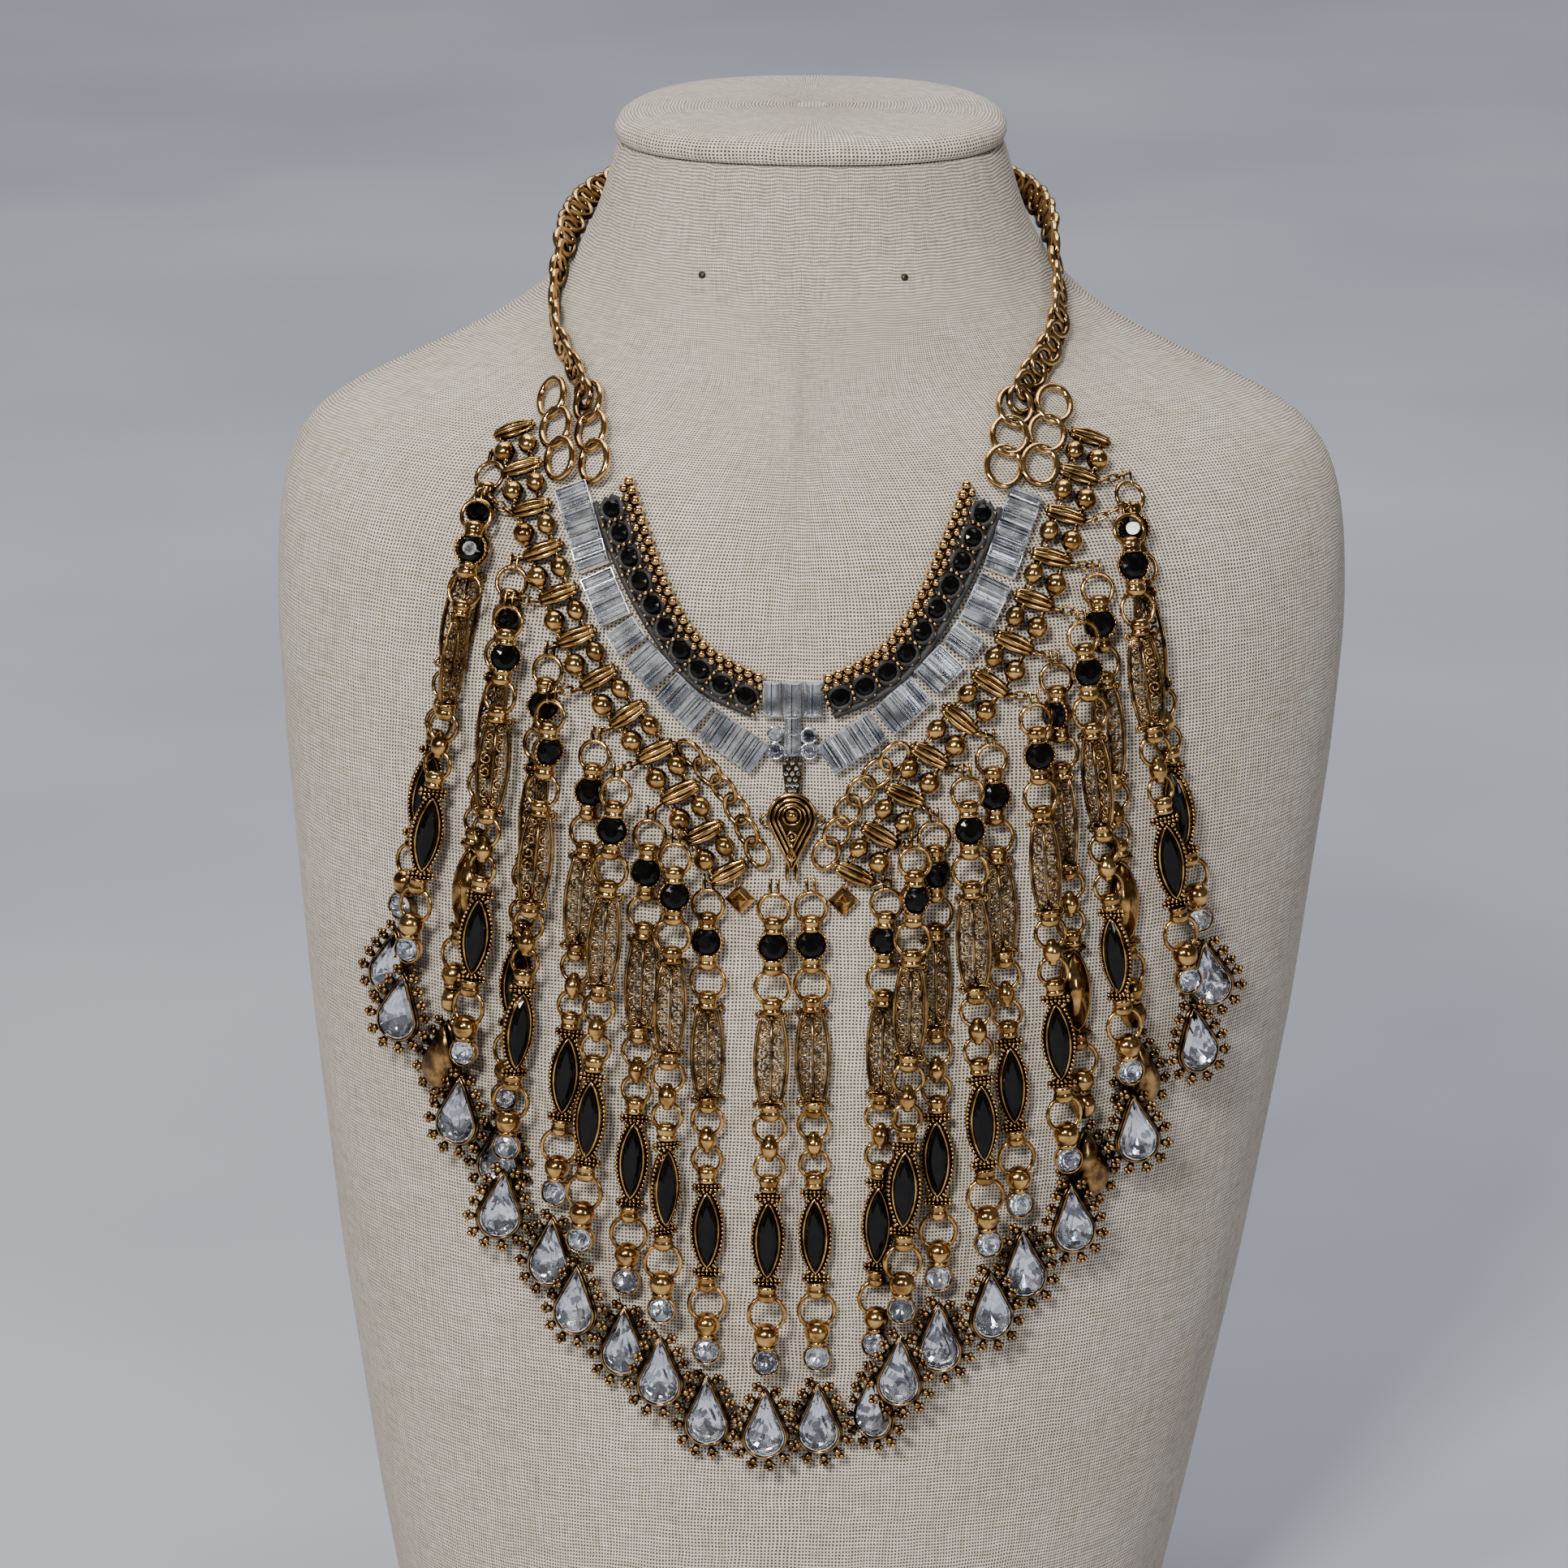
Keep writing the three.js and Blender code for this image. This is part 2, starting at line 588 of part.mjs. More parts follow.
// The crystal cluster at the middle of the collar: three baguettes over a cross of smaller stones.
function cluster() {
  const frame = centreFrame(0, CLUSTER_Z, COLLAR_LIFT);
  const solids = [...CLUSTER_STONES, ...CLUSTER_PLATES].map((piece) => {
    const box = new THREE.BoxGeometry(piece.width, piece.length, piece.height);
    return toManifold(box.translate(piece.x, piece.y, 0), frame);
  });
  return meshOf('crystal_cluster', joined(solids), CRYSTAL);
}

// The narrow tapering piece between the cluster and the medallion.
function paveTaper() {
  const half = (TAPER.top - TAPER.bottom) / 2;
  const corners = [
    [-TAPER.bottomWidth / 2, -half],
    [TAPER.bottomWidth / 2, -half],
    [TAPER.topWidth / 2, half],
    [-TAPER.topWidth / 2, half],
  ];
  const frame = centreFrame(0, (TAPER.top + TAPER.bottom) / 2, COLLAR_LIFT);
  return meshOf('pave_taper', toManifold(plate(corners, TAPER.height), frame), ANTIQUE_GOLD);
}

// A drop-shaped medallion, round above and pointed below, stepped up to a ball in its middle.
function medallion() {
  const frame = centreFrame(0, MEDALLION.z, COLLAR_LIFT);
  const solids = MEDALLION_LAYERS.map((layer) => {
    const outline = dropCorners(MEDALLION.width * layer.share, MEDALLION.length * layer.share);
    const geometry = plate(outline, layer.to - layer.from).rotateZ(Math.PI);
    return toManifold(geometry.translate(0, 0, (layer.from + layer.to) / 2), frame);
  });
  return meshOf('medallion', joined(solids), ANTIQUE_GOLD);
}

// A small square pyramid set on its corner, at the lower end of a ladder.
function stud(name, side) {
  const frame = centreFrame(side * STUD.x, STUD.z, COLLAR_LIFT);
  const half = STUD.side / 2;
  const corners = [[half, -half], [half, half], [-half, half], [-half, -half]];
  const base = plate(corners, STUD.base).rotateZ(Math.PI / 4).translate(0, 0, -STUD.baseDrop);
  const point = new THREE.ConeGeometry(STUD.spread / 2, STUD.height, 4).rotateX(Math.PI / 2);
  return meshOf(name, joined([toManifold(base, frame), toManifold(point, frame)]), ANTIQUE_GOLD);
}

// One fringe strand. Odd strands lie near the linen and even ones over them.
function strand(name, place, lift) {
  const route = [{ x: place.topX, z: place.topZ }, { x: place.tipX, z: place.tipZ }];
  const curve = new FrontCurve(route, Math.sign(place.topX), lift);
  const stations = [{ at: STRAND_START, width: NECK_WIDTH, thickness: RING_THICKNESS }];
  for (const piece of STRAND_PIECES) {
    const thickness = piece.name === 'ring' ? RING_THICKNESS : PLATE_THICKNESS;
    const shoulder = piece.length * SHOULDER_SHARE;
    stations.push({ at: piece.at - shoulder, width: piece.width, thickness });
    stations.push({ at: piece.at + shoulder, width: piece.width, thickness });
    stations.push({ at: piece.at + piece.length / 2, width: NECK_WIDTH, thickness: RING_THICKNESS });
  }
  for (const row of STRAND_DROP) {
    stations.push({ at: row.at, width: row.width, thickness: PLATE_THICKNESS });
  }
  const solid = toManifold(swept(curve, STRAND_LENGTH, stations, frameOn));
  return meshOf(name, solid, ANTIQUE_GOLD);
}

// ---------------------------------------------------------------- assembly

const necklace = new THREE.Group();
necklace.add(bust(), bustCap(), clasp(), cluster(), paveTaper(), medallion());
for (const [sideName, side] of [['left', -1], ['right', 1]]) {
  necklace.add(neckChain(`neck_chain_${sideName}`, side));
  const columns = [['inner', INNER_LINKS_ROUTE], ['outer', OUTER_LINKS_ROUTE]];
  for (const [place, route] of columns) {
    const name = `curb_links_${sideName}_${place}`;
    necklace.add(linkRow(name, route, side, CURB_LINK, BRIGHT_GOLD));
  }
  necklace.add(edgeChain(`edge_chain_${sideName}`, side));
  necklace.add(braid(`stone_braid_${sideName}`, side));
  necklace.add(...baguetteGroups(side, sideName));
  necklace.add(ladder(`ladder_${sideName}`, side));
  necklace.add(linkRow(`lace_chain_${sideName}`, LACE_ROUTE, side, LACE_LINK, ANTIQUE_GOLD));
  necklace.add(stud(`stud_${sideName}`, side));
  const strands = side < 0 ? LEFT_STRANDS : RIGHT_STRANDS;
  strands.forEach((place, number) => {
    const isFar = number % 2 === 1 && !(side > 0 && number === strands.length - 1);
    const name = `strand_${sideName}_${String(number + 1).padStart(2, '0')}`;
    necklace.add(strand(name, place, isFar ? FAR_LIFT : NEAR_LIFT));
  });
}

export default necklace;
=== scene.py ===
"""Bib necklace on a linen neck bust: the finished look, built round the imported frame.

Sizes are in millimetres and are turned into metres where a mesh is made. -Y is the front.
Places seen from the front are (x, z) pairs, laid on the bust's surface by Route.
"""
import math
import random

import bpy
import numpy as np
from mathutils import Matrix, Vector


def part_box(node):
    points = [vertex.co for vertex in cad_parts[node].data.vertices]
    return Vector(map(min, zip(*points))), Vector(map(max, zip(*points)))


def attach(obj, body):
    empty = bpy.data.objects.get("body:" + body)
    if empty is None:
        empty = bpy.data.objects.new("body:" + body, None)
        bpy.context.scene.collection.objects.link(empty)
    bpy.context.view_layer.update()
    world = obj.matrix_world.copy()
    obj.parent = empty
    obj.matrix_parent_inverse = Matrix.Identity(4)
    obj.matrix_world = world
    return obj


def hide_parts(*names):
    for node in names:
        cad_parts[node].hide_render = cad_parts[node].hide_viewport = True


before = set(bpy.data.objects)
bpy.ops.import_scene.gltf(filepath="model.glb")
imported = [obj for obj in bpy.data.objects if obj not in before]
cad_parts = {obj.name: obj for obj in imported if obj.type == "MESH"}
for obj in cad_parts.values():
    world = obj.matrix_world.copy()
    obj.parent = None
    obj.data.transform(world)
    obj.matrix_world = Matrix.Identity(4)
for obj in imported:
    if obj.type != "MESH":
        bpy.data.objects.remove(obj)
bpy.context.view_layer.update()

MM = 0.001
random.seed(7)

# ---------------------------------------------------------------- driving sizes

AXIS_Y = 6.0
BUST_COLUMNS = ("z", "half_width", "front", "back", "squareness", "lean")
BUST_ROWS = (
    (0, 75, 84, 44, 2.5, -6),
    (40, 83, 83, 45, 2.5, -5),
    (90, 92, 80, 46, 2.4, -3.4),
    (143, 99.5, 76, 46, 2.3, -1.6),
    (194, 105, 70, 46, 2.2, -0.4),
    (222, 107, 65, 46, 2.1, 0),
    (240, 106.5, 61, 45, 2.0, 0),
    (252, 104.5, 57, 44, 1.8, 0),
    (260, 101, 54, 43, 1.6, 0),
    (266, 95, 51, 42, 1.45, 0),
    (271, 84, 48, 41.5, 1.35, 0),
    (277, 70, 44, 41, 1.35, 0),
    (283, 58.5, 40, 40, 1.5, 0),
    (289, 50.5, 36, 39.5, 1.75, 0),
    (296, 45, 32, 39, 2.1, 0),
    (304, 41.5, 29, 38.5, 2.3, 0),
    (317, 38, 27, 37.5, 2.4, 0),
)
SEAM_Z = 317.0
PINS = {"x": 19.6, "z": 296.0, "radius": 0.75}
WEAVE_PITCH = 0.7

# Routes of the left half of the collar, seen from the front; the right half mirrors them.
EDGE_ROUTE = (
    (-32.6, 258.6), (-28.7, 249), (-25.4, 241.5), (-22, 235.5), (-18, 230.6), (-13, 227.2), (-6.9, 224.5),
)
BRAID_ROUTE = ((-36, 256), (-32, 247), (-27.1, 238), (-20.7, 229), (-14.6, 224.2), (-6.6, 220.7))
BAGUETTE_ROUTE = ((-43.6, 257.6), (-38.5, 244), (-33.6, 234), (-27.2, 226.3), (-18.6, 218.4), (-5.8, 209.6))
LADDER_ROUTE = (
    (-55.2, 264.6), (-51, 252.7), (-45.6, 239.3), (-38.3, 225.2), (-27.2, 211.9), (-17.6, 196.6), (-12, 188),
)
LACE_ROUTE = ((-21, 212), (-12.8, 203.6), (-8.6, 196), (-5.6, 190))
INNER_LINKS_ROUTE = ((-41.1, 272.8), (-38.5, 258.9))
OUTER_LINKS_ROUTE = ((-48.6, 272.4), (-45.1, 258.6))
# Round the neck: angle 0 is its side, 90 its front and -90 its back.
NECK_ROUTE = (
    (-84, 304), (-60, 304), (-30, 303), (-5, 300.5), (10, 296.5), (22, 290.5), (34, 283.6), (46, 276.8),
    (50, 273.8), (52, 272.4),
)

COLLAR_LIFT = 2.2
NEAR_LIFT = 2.6
FAR_LIFT = 6.3
NECK_LIFT = 3.6
BAGUETTE = {"length": 6.6, "width": 2.3, "pitch": 2.48}
BAGUETTE_GROUPS = (7, 4, 2, 3, 4, 5)
BRAID_STONES = 10
LADDER_BARS = 12
STRANDS = 12

# Links of the three kinds of chain; lean is how far each is turned about the chain, in degrees.
NECK_LINK = {"half_width": 2.5, "half_length": 3.0, "wire": 0.7, "overlap": 0.42, "lean": 42}
COLUMN_LINK = {"half_width": 3.4, "half_length": 4.2, "wire": 0.72, "overlap": 0.15, "lean": 14}
LACE_LINK = {"half_width": 2.3, "half_length": 3.1, "wire": 0.5, "overlap": 0.28, "lean": 24}

# Along a strand, where the middle of each piece is, from the top link down. A ring has its radius
# too, and a saddle the way it faces: -1 has its dome towards the top.
STRAND_SPAN = (2.4, 117.0)
RINGS = ((5.8, 3.0), (20.9, 3.35), (48.4, 3.0), (56.2, 2.8), (85.4, 3.5))
SADDLES = ((8.9, -1), (16.9, 1), (24.5, -1), (45.3, 1), (59.3, -1), (81.3, 1))
ROUND_AT = 12.8
PLATE_AT = 35.0
KNUCKLE_AT = 52.3
NAVETTE_AT = 70.5
BALL_AT = 89.6
CHATON_AT = 94.9
DROP_AT = 107.4
RING_WIRE = 0.47
NAVETTE = {"half_width": 2.05, "half_length": 7.3}
PEAR = {"radius": 3.85, "length": 13.2}
CHATON_RADIUS = 2.45
DROP_KNOBS = 14

# How far some strands' pieces are turned about their thread, in degrees.
TURN_COLUMNS = ("round", "plate", "navette", "drop")
TURNS = {
    "strand_left_01": (5, 35, 48, 12),
    "strand_left_02": (20, 78, 44, 18),
    "strand_left_03": (60, 62, 180, 180),
    "strand_left_04": (35, 12, 26, 10),
    "strand_left_05": (14, 60, 22, 12),
    "strand_left_06": (52, 16, 46, 30),
    "strand_left_07": (6, 14, 12, 4),
    "strand_left_10": (20, 30, 38, 6),
    "strand_left_11": (-8, 22, 4, 0),
    "strand_right_01": (-30, -62, -56, -30),
    "strand_right_02": (-12, -14, -16, -14),
    "strand_right_03": (-20, -38, 180, 180),
    "strand_right_04": (6, -50, -48, -20),
    "strand_right_05": (-56, -60, 180, 180),
    "strand_right_06": (4, 10, -20, -8),
    "strand_right_09": (28, 20, -12, -10),
    "strand_right_10": (30, -18, -14, -14),
    "strand_right_11": (-30, -24, -14, -34),
}

# ---------------------------------------------------------------- camera, lights and floor

CAMERA = {"target": (-3.4, -30.0, 195.0), "azimuth": 3.0, "elevation": 17.0, "distance": 1500.0}
FRAME_WIDTH = 309.0
SENSOR = 36.0


def add_camera():
    azimuth = math.radians(CAMERA["azimuth"])
    elevation = math.radians(CAMERA["elevation"])
    back = Vector((
        math.sin(azimuth) * math.cos(elevation),
        -math.cos(azimuth) * math.cos(elevation),
        math.sin(elevation),
    ))
    data = bpy.data.cameras.new("camera")
    data.sensor_width = SENSOR
    data.lens = SENSOR * CAMERA["distance"] / FRAME_WIDTH
    data.clip_end = 20
    camera = bpy.data.objects.new("camera", data)
    camera.location = (Vector(CAMERA["target"]) + back * CAMERA["distance"]) * MM
    camera.rotation_euler = (-back).to_track_quat("-Z", "Y").to_euler()
    bpy.context.collection.objects.link(camera)
    bpy.context.scene.camera = camera


def add_area(name, place, aim, size, watts, color):
    data = bpy.data.lights.new(name, "AREA")
    data.shape = "RECTANGLE"
    data.size = size[0]
    data.size_y = size[1]
    data.energy = watts
    data.color = color
    light = bpy.data.objects.new(name, data)
    light.location = place
    light.rotation_euler = (Vector(aim) - Vector(place)).to_track_quat("-Z", "Y").to_euler()
    bpy.context.collection.objects.link(light)


def add_studio():
    add_area("key", (-0.35, -1.5, 1.25), (0, 0, 0.2), (0.34, 0.24), 36, (1.0, 0.98, 0.95))
    add_area("fill", (0.9, -1.3, 0.7), (0, 0, 0.2), (0.25, 0.5), 5, (0.92, 0.95, 1.0))
    add_area("top", (0.0, 0.2, 1.6), (0, 0.1, 0.1), (1.2, 0.8), 14, (0.95, 0.97, 1.0))
    add_area("rear_floor", (0, 1.5, 1.7), (0, 1.7, 0), (2.4, 1.6), 20, (0.95, 0.97, 1.0))
    add_area("spark", (-0.9, -1.3, 0.9), (0, 0, 0.2), (0.12, 0.12), 8, (1.0, 0.97, 0.92))
    world = bpy.data.worlds.new("studio")
    world.use_nodes = True
    background = world.node_tree.nodes["Background"]
    background.inputs["Color"].default_value = (0.62, 0.64, 0.70, 1)
    background.inputs["Strength"].default_value = 0.13
    bpy.context.scene.world = world


# ---------------------------------------------------------------- materials

class Nodes:
    """A material's node tree, with short ways to add and wire nodes."""

    def __init__(self, name):
        self.material = bpy.data.materials.new(name)
        self.material.use_nodes = True
        self.tree = self.material.node_tree
        self.shader = self.tree.nodes["Principled BSDF"]

    def add(self, kind, **settings):
        node = self.tree.nodes.new(kind)
        for key, value in settings.items():
            if key in node.inputs:
                node.inputs[key].default_value = value
            else:
                setattr(node, key, value)
        return node

    def wire(self, source, output, target, socket):
        self.tree.links.new(source.outputs[output], target.inputs[socket])

    def ramp(self, source, output, stops):
        ramp = self.add("ShaderNodeValToRGB")
        elements = ramp.color_ramp.elements
        while len(elements) < len(stops):
            elements.new(0.5)
        for element, (position, color) in zip(elements, stops):
            element.position = position
            element.color = (*color, 1)
        self.wire(source, output, ramp, "Fac")
        return ramp

    def set(self, socket, value):
        self.shader.inputs[socket].default_value = value

    def drive(self, socket, source, output, stops):
        """Sets one of the shader's sockets through a ramp."""
        ramp = self.ramp(source, output, stops)
        self.wire(ramp, "Color", self.shader, socket)

    def multiply(self, first, second):
        mix = self.add("ShaderNodeMix", data_type="RGBA", blend_type="MULTIPLY")
        mix.inputs[0].default_value = 1.0
        self.tree.links.new(first, mix.inputs[6])
        self.tree.links.new(second, mix.inputs[7])
        return mix.outputs[2]

    def noise(self, scale, detail=3.0):
        place = self.add("ShaderNodeTexCoord")
        noise = self.add("ShaderNodeTexNoise", Scale=scale, Detail=detail)
        self.wire(place, "Object", noise, "Vector")
        return noise

    def bump(self, source, output, strength, distance):
        bump = self.add("ShaderNodeBump", Strength=strength, Distance=distance)
        self.wire(source, output, bump, "Height")
        self.wire(bump, "Normal", self.shader, "Normal")


def gray(value):
    return (value, value, value)


def gold(name, bright, dark, roughness, patina_and_shade_reach):
    """Plated metal: warm where it is rubbed, with brown patina in its hollows and painted shade where parts
    crowd together.
    """
    nodes = Nodes(name)
    nodes.set("Metallic", 1.0)
    patina = nodes.noise(420.0, 4.0)
    tone = nodes.ramp(patina, "Fac", ((0.36, dark), (0.62, bright)))
    # Ambient occlusion darkens the colour to near black wherever the metal is hemmed in: partly the patina of
    # its hollows, partly painted shade between neighbouring parts and against the linen.
    hollow_patina_and_shade = nodes.add("ShaderNodeAmbientOcclusion", samples=6, Distance=patina_and_shade_reach)
    shade = nodes.ramp(hollow_patina_and_shade, "AO", ((0.5, (0.03, 0.015, 0.006)), (0.99, (1, 1, 1))))
    color = nodes.multiply(tone.outputs["Color"], shade.outputs["Color"])
    nodes.tree.links.new(color, nodes.shader.inputs["Base Color"])
    wear = nodes.noise(900.0, 2.0)
    nodes.drive("Roughness", wear, "Fac", ((0.3, gray(roughness * 0.75)), (0.7, gray(roughness * 1.6))))
    nodes.bump(wear, "Fac", 0.12, 0.00006)
    return nodes.material


def black_stone():
    nodes = Nodes("black_faceted_glass")
    haze = nodes.noise(600.0)
    nodes.drive("Base Color", haze, "Fac", ((0.35, (0.001, 0.001, 0.001)), (0.7, (0.004, 0.0035, 0.003))))
    nodes.drive("Roughness", haze, "Fac", ((0.3, gray(0.04)), (0.75, gray(0.12))))
    nodes.set("Specular IOR Level", 0.22)
    return nodes.material


def ribbon():
    nodes = Nodes("black_satin_cord")
    twist = nodes.noise(1500.0, 2.0)
    nodes.drive("Base Color", twist, "Fac", ((0.3, (0.006, 0.005, 0.005)), (0.7, (0.03, 0.028, 0.028))))
    nodes.set("Roughness", 0.62)
    nodes.bump(twist, "Fac", 0.5, 0.0002)
    return nodes.material


def crystal_glass():
    """The clear crown of a foil-backed stone."""
    nodes = Nodes("crystal_glass")
    haze = nodes.noise(300.0)
    nodes.drive("Base Color", haze, "Fac", ((0.3, (0.96, 0.97, 0.99)), (0.7, (1.0, 1.0, 1.0))))
    nodes.drive("Roughness", haze, "Fac", ((0.3, gray(0.0)), (0.8, gray(0.03))))
    nodes.set("Transmission Weight", 1.0)
    nodes.set("IOR", 1.5)
    return nodes.material


def crystal_foil():
    """The mirrored back facets under the clear crown, with painted light and dark patches standing in for the
    glints and dark reflections of the facets.
    """
    nodes = Nodes("crystal_foil")
    nodes.set("Metallic", 1.0)
    place = nodes.add("ShaderNodeTexCoord")
    cells = nodes.add("ShaderNodeTexVoronoi", Scale=780.0)
    nodes.wire(place, "Object", cells, "Vector")
    facet_glint = nodes.add("ShaderNodeSeparateColor")
    nodes.wire(cells, "Color", facet_glint, "Color")
    # Painted reflection: the cells set the mirror's colour from near black to white, as glinting and dark
    # facets.
    nodes.drive("Base Color", facet_glint, "Red", (
        (0.1, (0.16, 0.17, 0.19)), (0.35, (0.62, 0.64, 0.68)), (0.6, (0.97, 0.97, 0.98)),
    ))
    nodes.drive("Roughness", facet_glint, "Green", ((0.3, gray(0.06)), (0.8, gray(0.26))))
    return nodes.material


def crystal_mirror():
    """The mirrored trough of a baguette, plain so that its long facets show."""
    nodes = Nodes("crystal_mirror")
    nodes.set("Metallic", 1.0)
    cloud = nodes.noise(260.0, 1.0)
    nodes.drive("Base Color", cloud, "Fac", ((0.35, (0.72, 0.74, 0.78)), (0.6, (1.0, 1.0, 1.0))))
    nodes.drive("Roughness", cloud, "Fac", ((0.3, gray(0.16)), (0.7, gray(0.32))))
    return nodes.material


def linen():
    """Plain-woven natural linen: threads, slubs and painted shade in the gaps between threads, on UVs laid
    out in millimetres.
    """
    nodes = Nodes("linen_weave")
    place = nodes.add("ShaderNodeUVMap", uv_map="cloth")
    wobble = nodes.add("ShaderNodeTexNoise", Scale=0.09, Detail=4.0)
    nodes.wire(place, "UV", wobble, "Vector")
    shift = nodes.add("ShaderNodeVectorMath", operation="MULTIPLY_ADD")
    shift.inputs[1].default_value = (1.6, 1.6, 0)
    nodes.wire(wobble, "Color", shift, 0)
    nodes.wire(place, "UV", shift, 2)
    split = nodes.add("ShaderNodeSeparateXYZ")
    nodes.wire(shift, "Vector", split, "Vector")
    threads = []
    for axis in ("X", "Y"):
        turn = nodes.add("ShaderNodeMath", operation="MULTIPLY")
        turn.inputs[1].default_value = math.pi / WEAVE_PITCH
        nodes.wire(split, axis, turn, 0)
        wave = nodes.add("ShaderNodeMath", operation="SINE")
        nodes.wire(turn, "Value", wave, 0)
        height = nodes.add("ShaderNodeMath", operation="ABSOLUTE")
        nodes.wire(wave, "Value", height, 0)
        threads.append(height)
    weave = nodes.add("ShaderNodeMath", operation="MAXIMUM")
    nodes.wire(threads[0], "Value", weave, 0)
    nodes.wire(threads[1], "Value", weave, 1)
    slub = nodes.add("ShaderNodeTexNoise", Scale=0.55, Detail=3.0)
    nodes.wire(place, "UV", slub, "Vector")
    stain = nodes.add("ShaderNodeTexNoise", Scale=0.035, Detail=3.0)
    nodes.wire(place, "UV", stain, "Vector")
    # The gaps between the threads are painted near black: painted shade in the hollows of the weave.
    gap_shade = nodes.ramp(weave, "Value", ((0.60, (0.06, 0.05, 0.038)), (0.88, (0.80, 0.735, 0.64))))
    tint = nodes.ramp(slub, "Fac", ((0.34, (0.86, 0.83, 0.78)), (0.62, (1, 1, 1))))
    age = nodes.ramp(stain, "Fac", ((0.35, (0.93, 0.91, 0.88)), (0.65, (1, 1, 1))))
    threads_apart = [thread_tint(nodes, place, stretch) for stretch in ((2.6, 0.1, 0), (0.1, 2.6, 0))]
    color = gap_shade.outputs["Color"]
    for layer in (tint, age, *threads_apart):
        color = nodes.multiply(color, layer.outputs["Color"])
    nodes.tree.links.new(color, nodes.shader.inputs["Base Color"])
    nodes.set("Roughness", 0.92)
    nodes.set("Sheen Weight", 0.12)
    nodes.bump(weave, "Value", 0.9, 0.0003)
    return nodes.material


def thread_tint(nodes, place, stretch):
    """Light and dark threads running one way."""
    scaled = nodes.add("ShaderNodeVectorMath", operation="MULTIPLY")
    scaled.inputs[1].default_value = stretch
    nodes.wire(place, "UV", scaled, 0)
    noise = nodes.add("ShaderNodeTexNoise", Scale=1.0, Detail=2.0)
    nodes.wire(scaled, "Vector", noise, "Vector")
    return nodes.ramp(noise, "Fac", ((0.36, (0.80, 0.77, 0.72)), (0.56, (1, 1, 1))))


def floor_cloth():
    nodes = Nodes("pale_floor")
    cloud = nodes.noise(3.0, 3.0)
    nodes.drive("Base Color", cloud, "Fac", ((0.35, (0.36, 0.37, 0.42)), (0.65, (0.46, 0.47, 0.52))))
    nodes.set("Roughness", 0.9)
    return nodes.material


def pin_metal():
    nodes = Nodes("dark_pin")
    spots = nodes.noise(1200.0)
    nodes.drive("Base Color", spots, "Fac", ((0.3, (0.03, 0.025, 0.018)), (0.7, (0.10, 0.085, 0.06))))
    nodes.set("Metallic", 1.0)
    nodes.set("Roughness", 0.5)
    return nodes.material


# Each kind of finish and its material, which build() makes.
MATERIALS = {}

# ---------------------------------------------------------------- the bust's surface

SURFACE_Z = np.arange(0.0, SEAM_Z + 0.5, 1.0)


def smooth_column(values):
    """A column of BUST_ROWS at every millimetre of height, with its corners rounded off."""
    reach = 5
    heights = [row[0] for row in BUST_ROWS]
    dense = np.interp(SURFACE_Z, heights, values)
    for _ in range(2):
        first = 2 * dense[0] - dense[reach:0:-1]
        last = 2 * dense[-1] - dense[-2:-reach - 2:-1]
        padded = np.concatenate((first, dense, last))
        dense = np.convolve(padded, np.ones(2 * reach + 1) / (2 * reach + 1), mode="valid")
    return dense


SURFACE = {
    name: smooth_column([row[index] for row in BUST_ROWS])
    for index, name in enumerate(BUST_COLUMNS) if index > 0
}


def section(z):
    return {name: float(np.interp(z, SURFACE_Z, column)) for name, column in SURFACE.items()}


def front_y(x, z):
    cut = section(z)
    across = min(abs(x - cut["lean"]) / cut["half_width"], 0.999)
    forward = (1 - across ** cut["squareness"]) ** (1 / cut["squareness"])
    return AXIS_Y - cut["front"] * forward


def front_normal(x, z):
    step = 2.0
    slope_x = (front_y(x + step, z) - front_y(x - step, z)) / (2 * step)
    slope_z = (front_y(x, z + step) - front_y(x, z - step)) / (2 * step)
    normal = np.array((slope_x, -1.0, slope_z))
    return normal / np.linalg.norm(normal)


def on_front(x, z, lift):
    return np.array((x, front_y(x, z), z)) + front_normal(x, z) * lift


def round_bust(z, degrees, side, lift):
    """A point on the level section at z: 0 degrees is the side, 90 the front, -90 the back."""
    cut = section(z)
    angle = math.radians(degrees)
    power = 2 / cut["squareness"]
    depth = cut["front"] if math.sin(angle) > 0 else cut["back"]
    across = math.copysign(abs(math.cos(angle)) ** power, math.cos(angle))
    forward = math.copysign(abs(math.sin(angle)) ** power, math.sin(angle))
    x = cut["lean"] + side * across * (cut["half_width"] + lift)
    return np.array((x, AXIS_Y - forward * (depth + lift), z))


def spline(points, steps=12):
    """A smooth line through the points, as rows of numbers."""
    rows = np.array(points, float)
    rows = np.vstack((2 * rows[0] - rows[1], rows, 2 * rows[-1] - rows[-2]))
    line = []
    for index in range(1, len(rows) - 2):
        before, start, end, after = rows[index - 1:index + 3]
        for step in range(steps):
            t = step / steps
            line.append(0.5 * (
                2 * start + (end - before) * t
                + (2 * before - 5 * start + 4 * end - after) * t ** 2
                + (3 * start - before - 3 * end + after) * t ** 3
            ))
    line.append(rows[-2])
    return np.array(line)


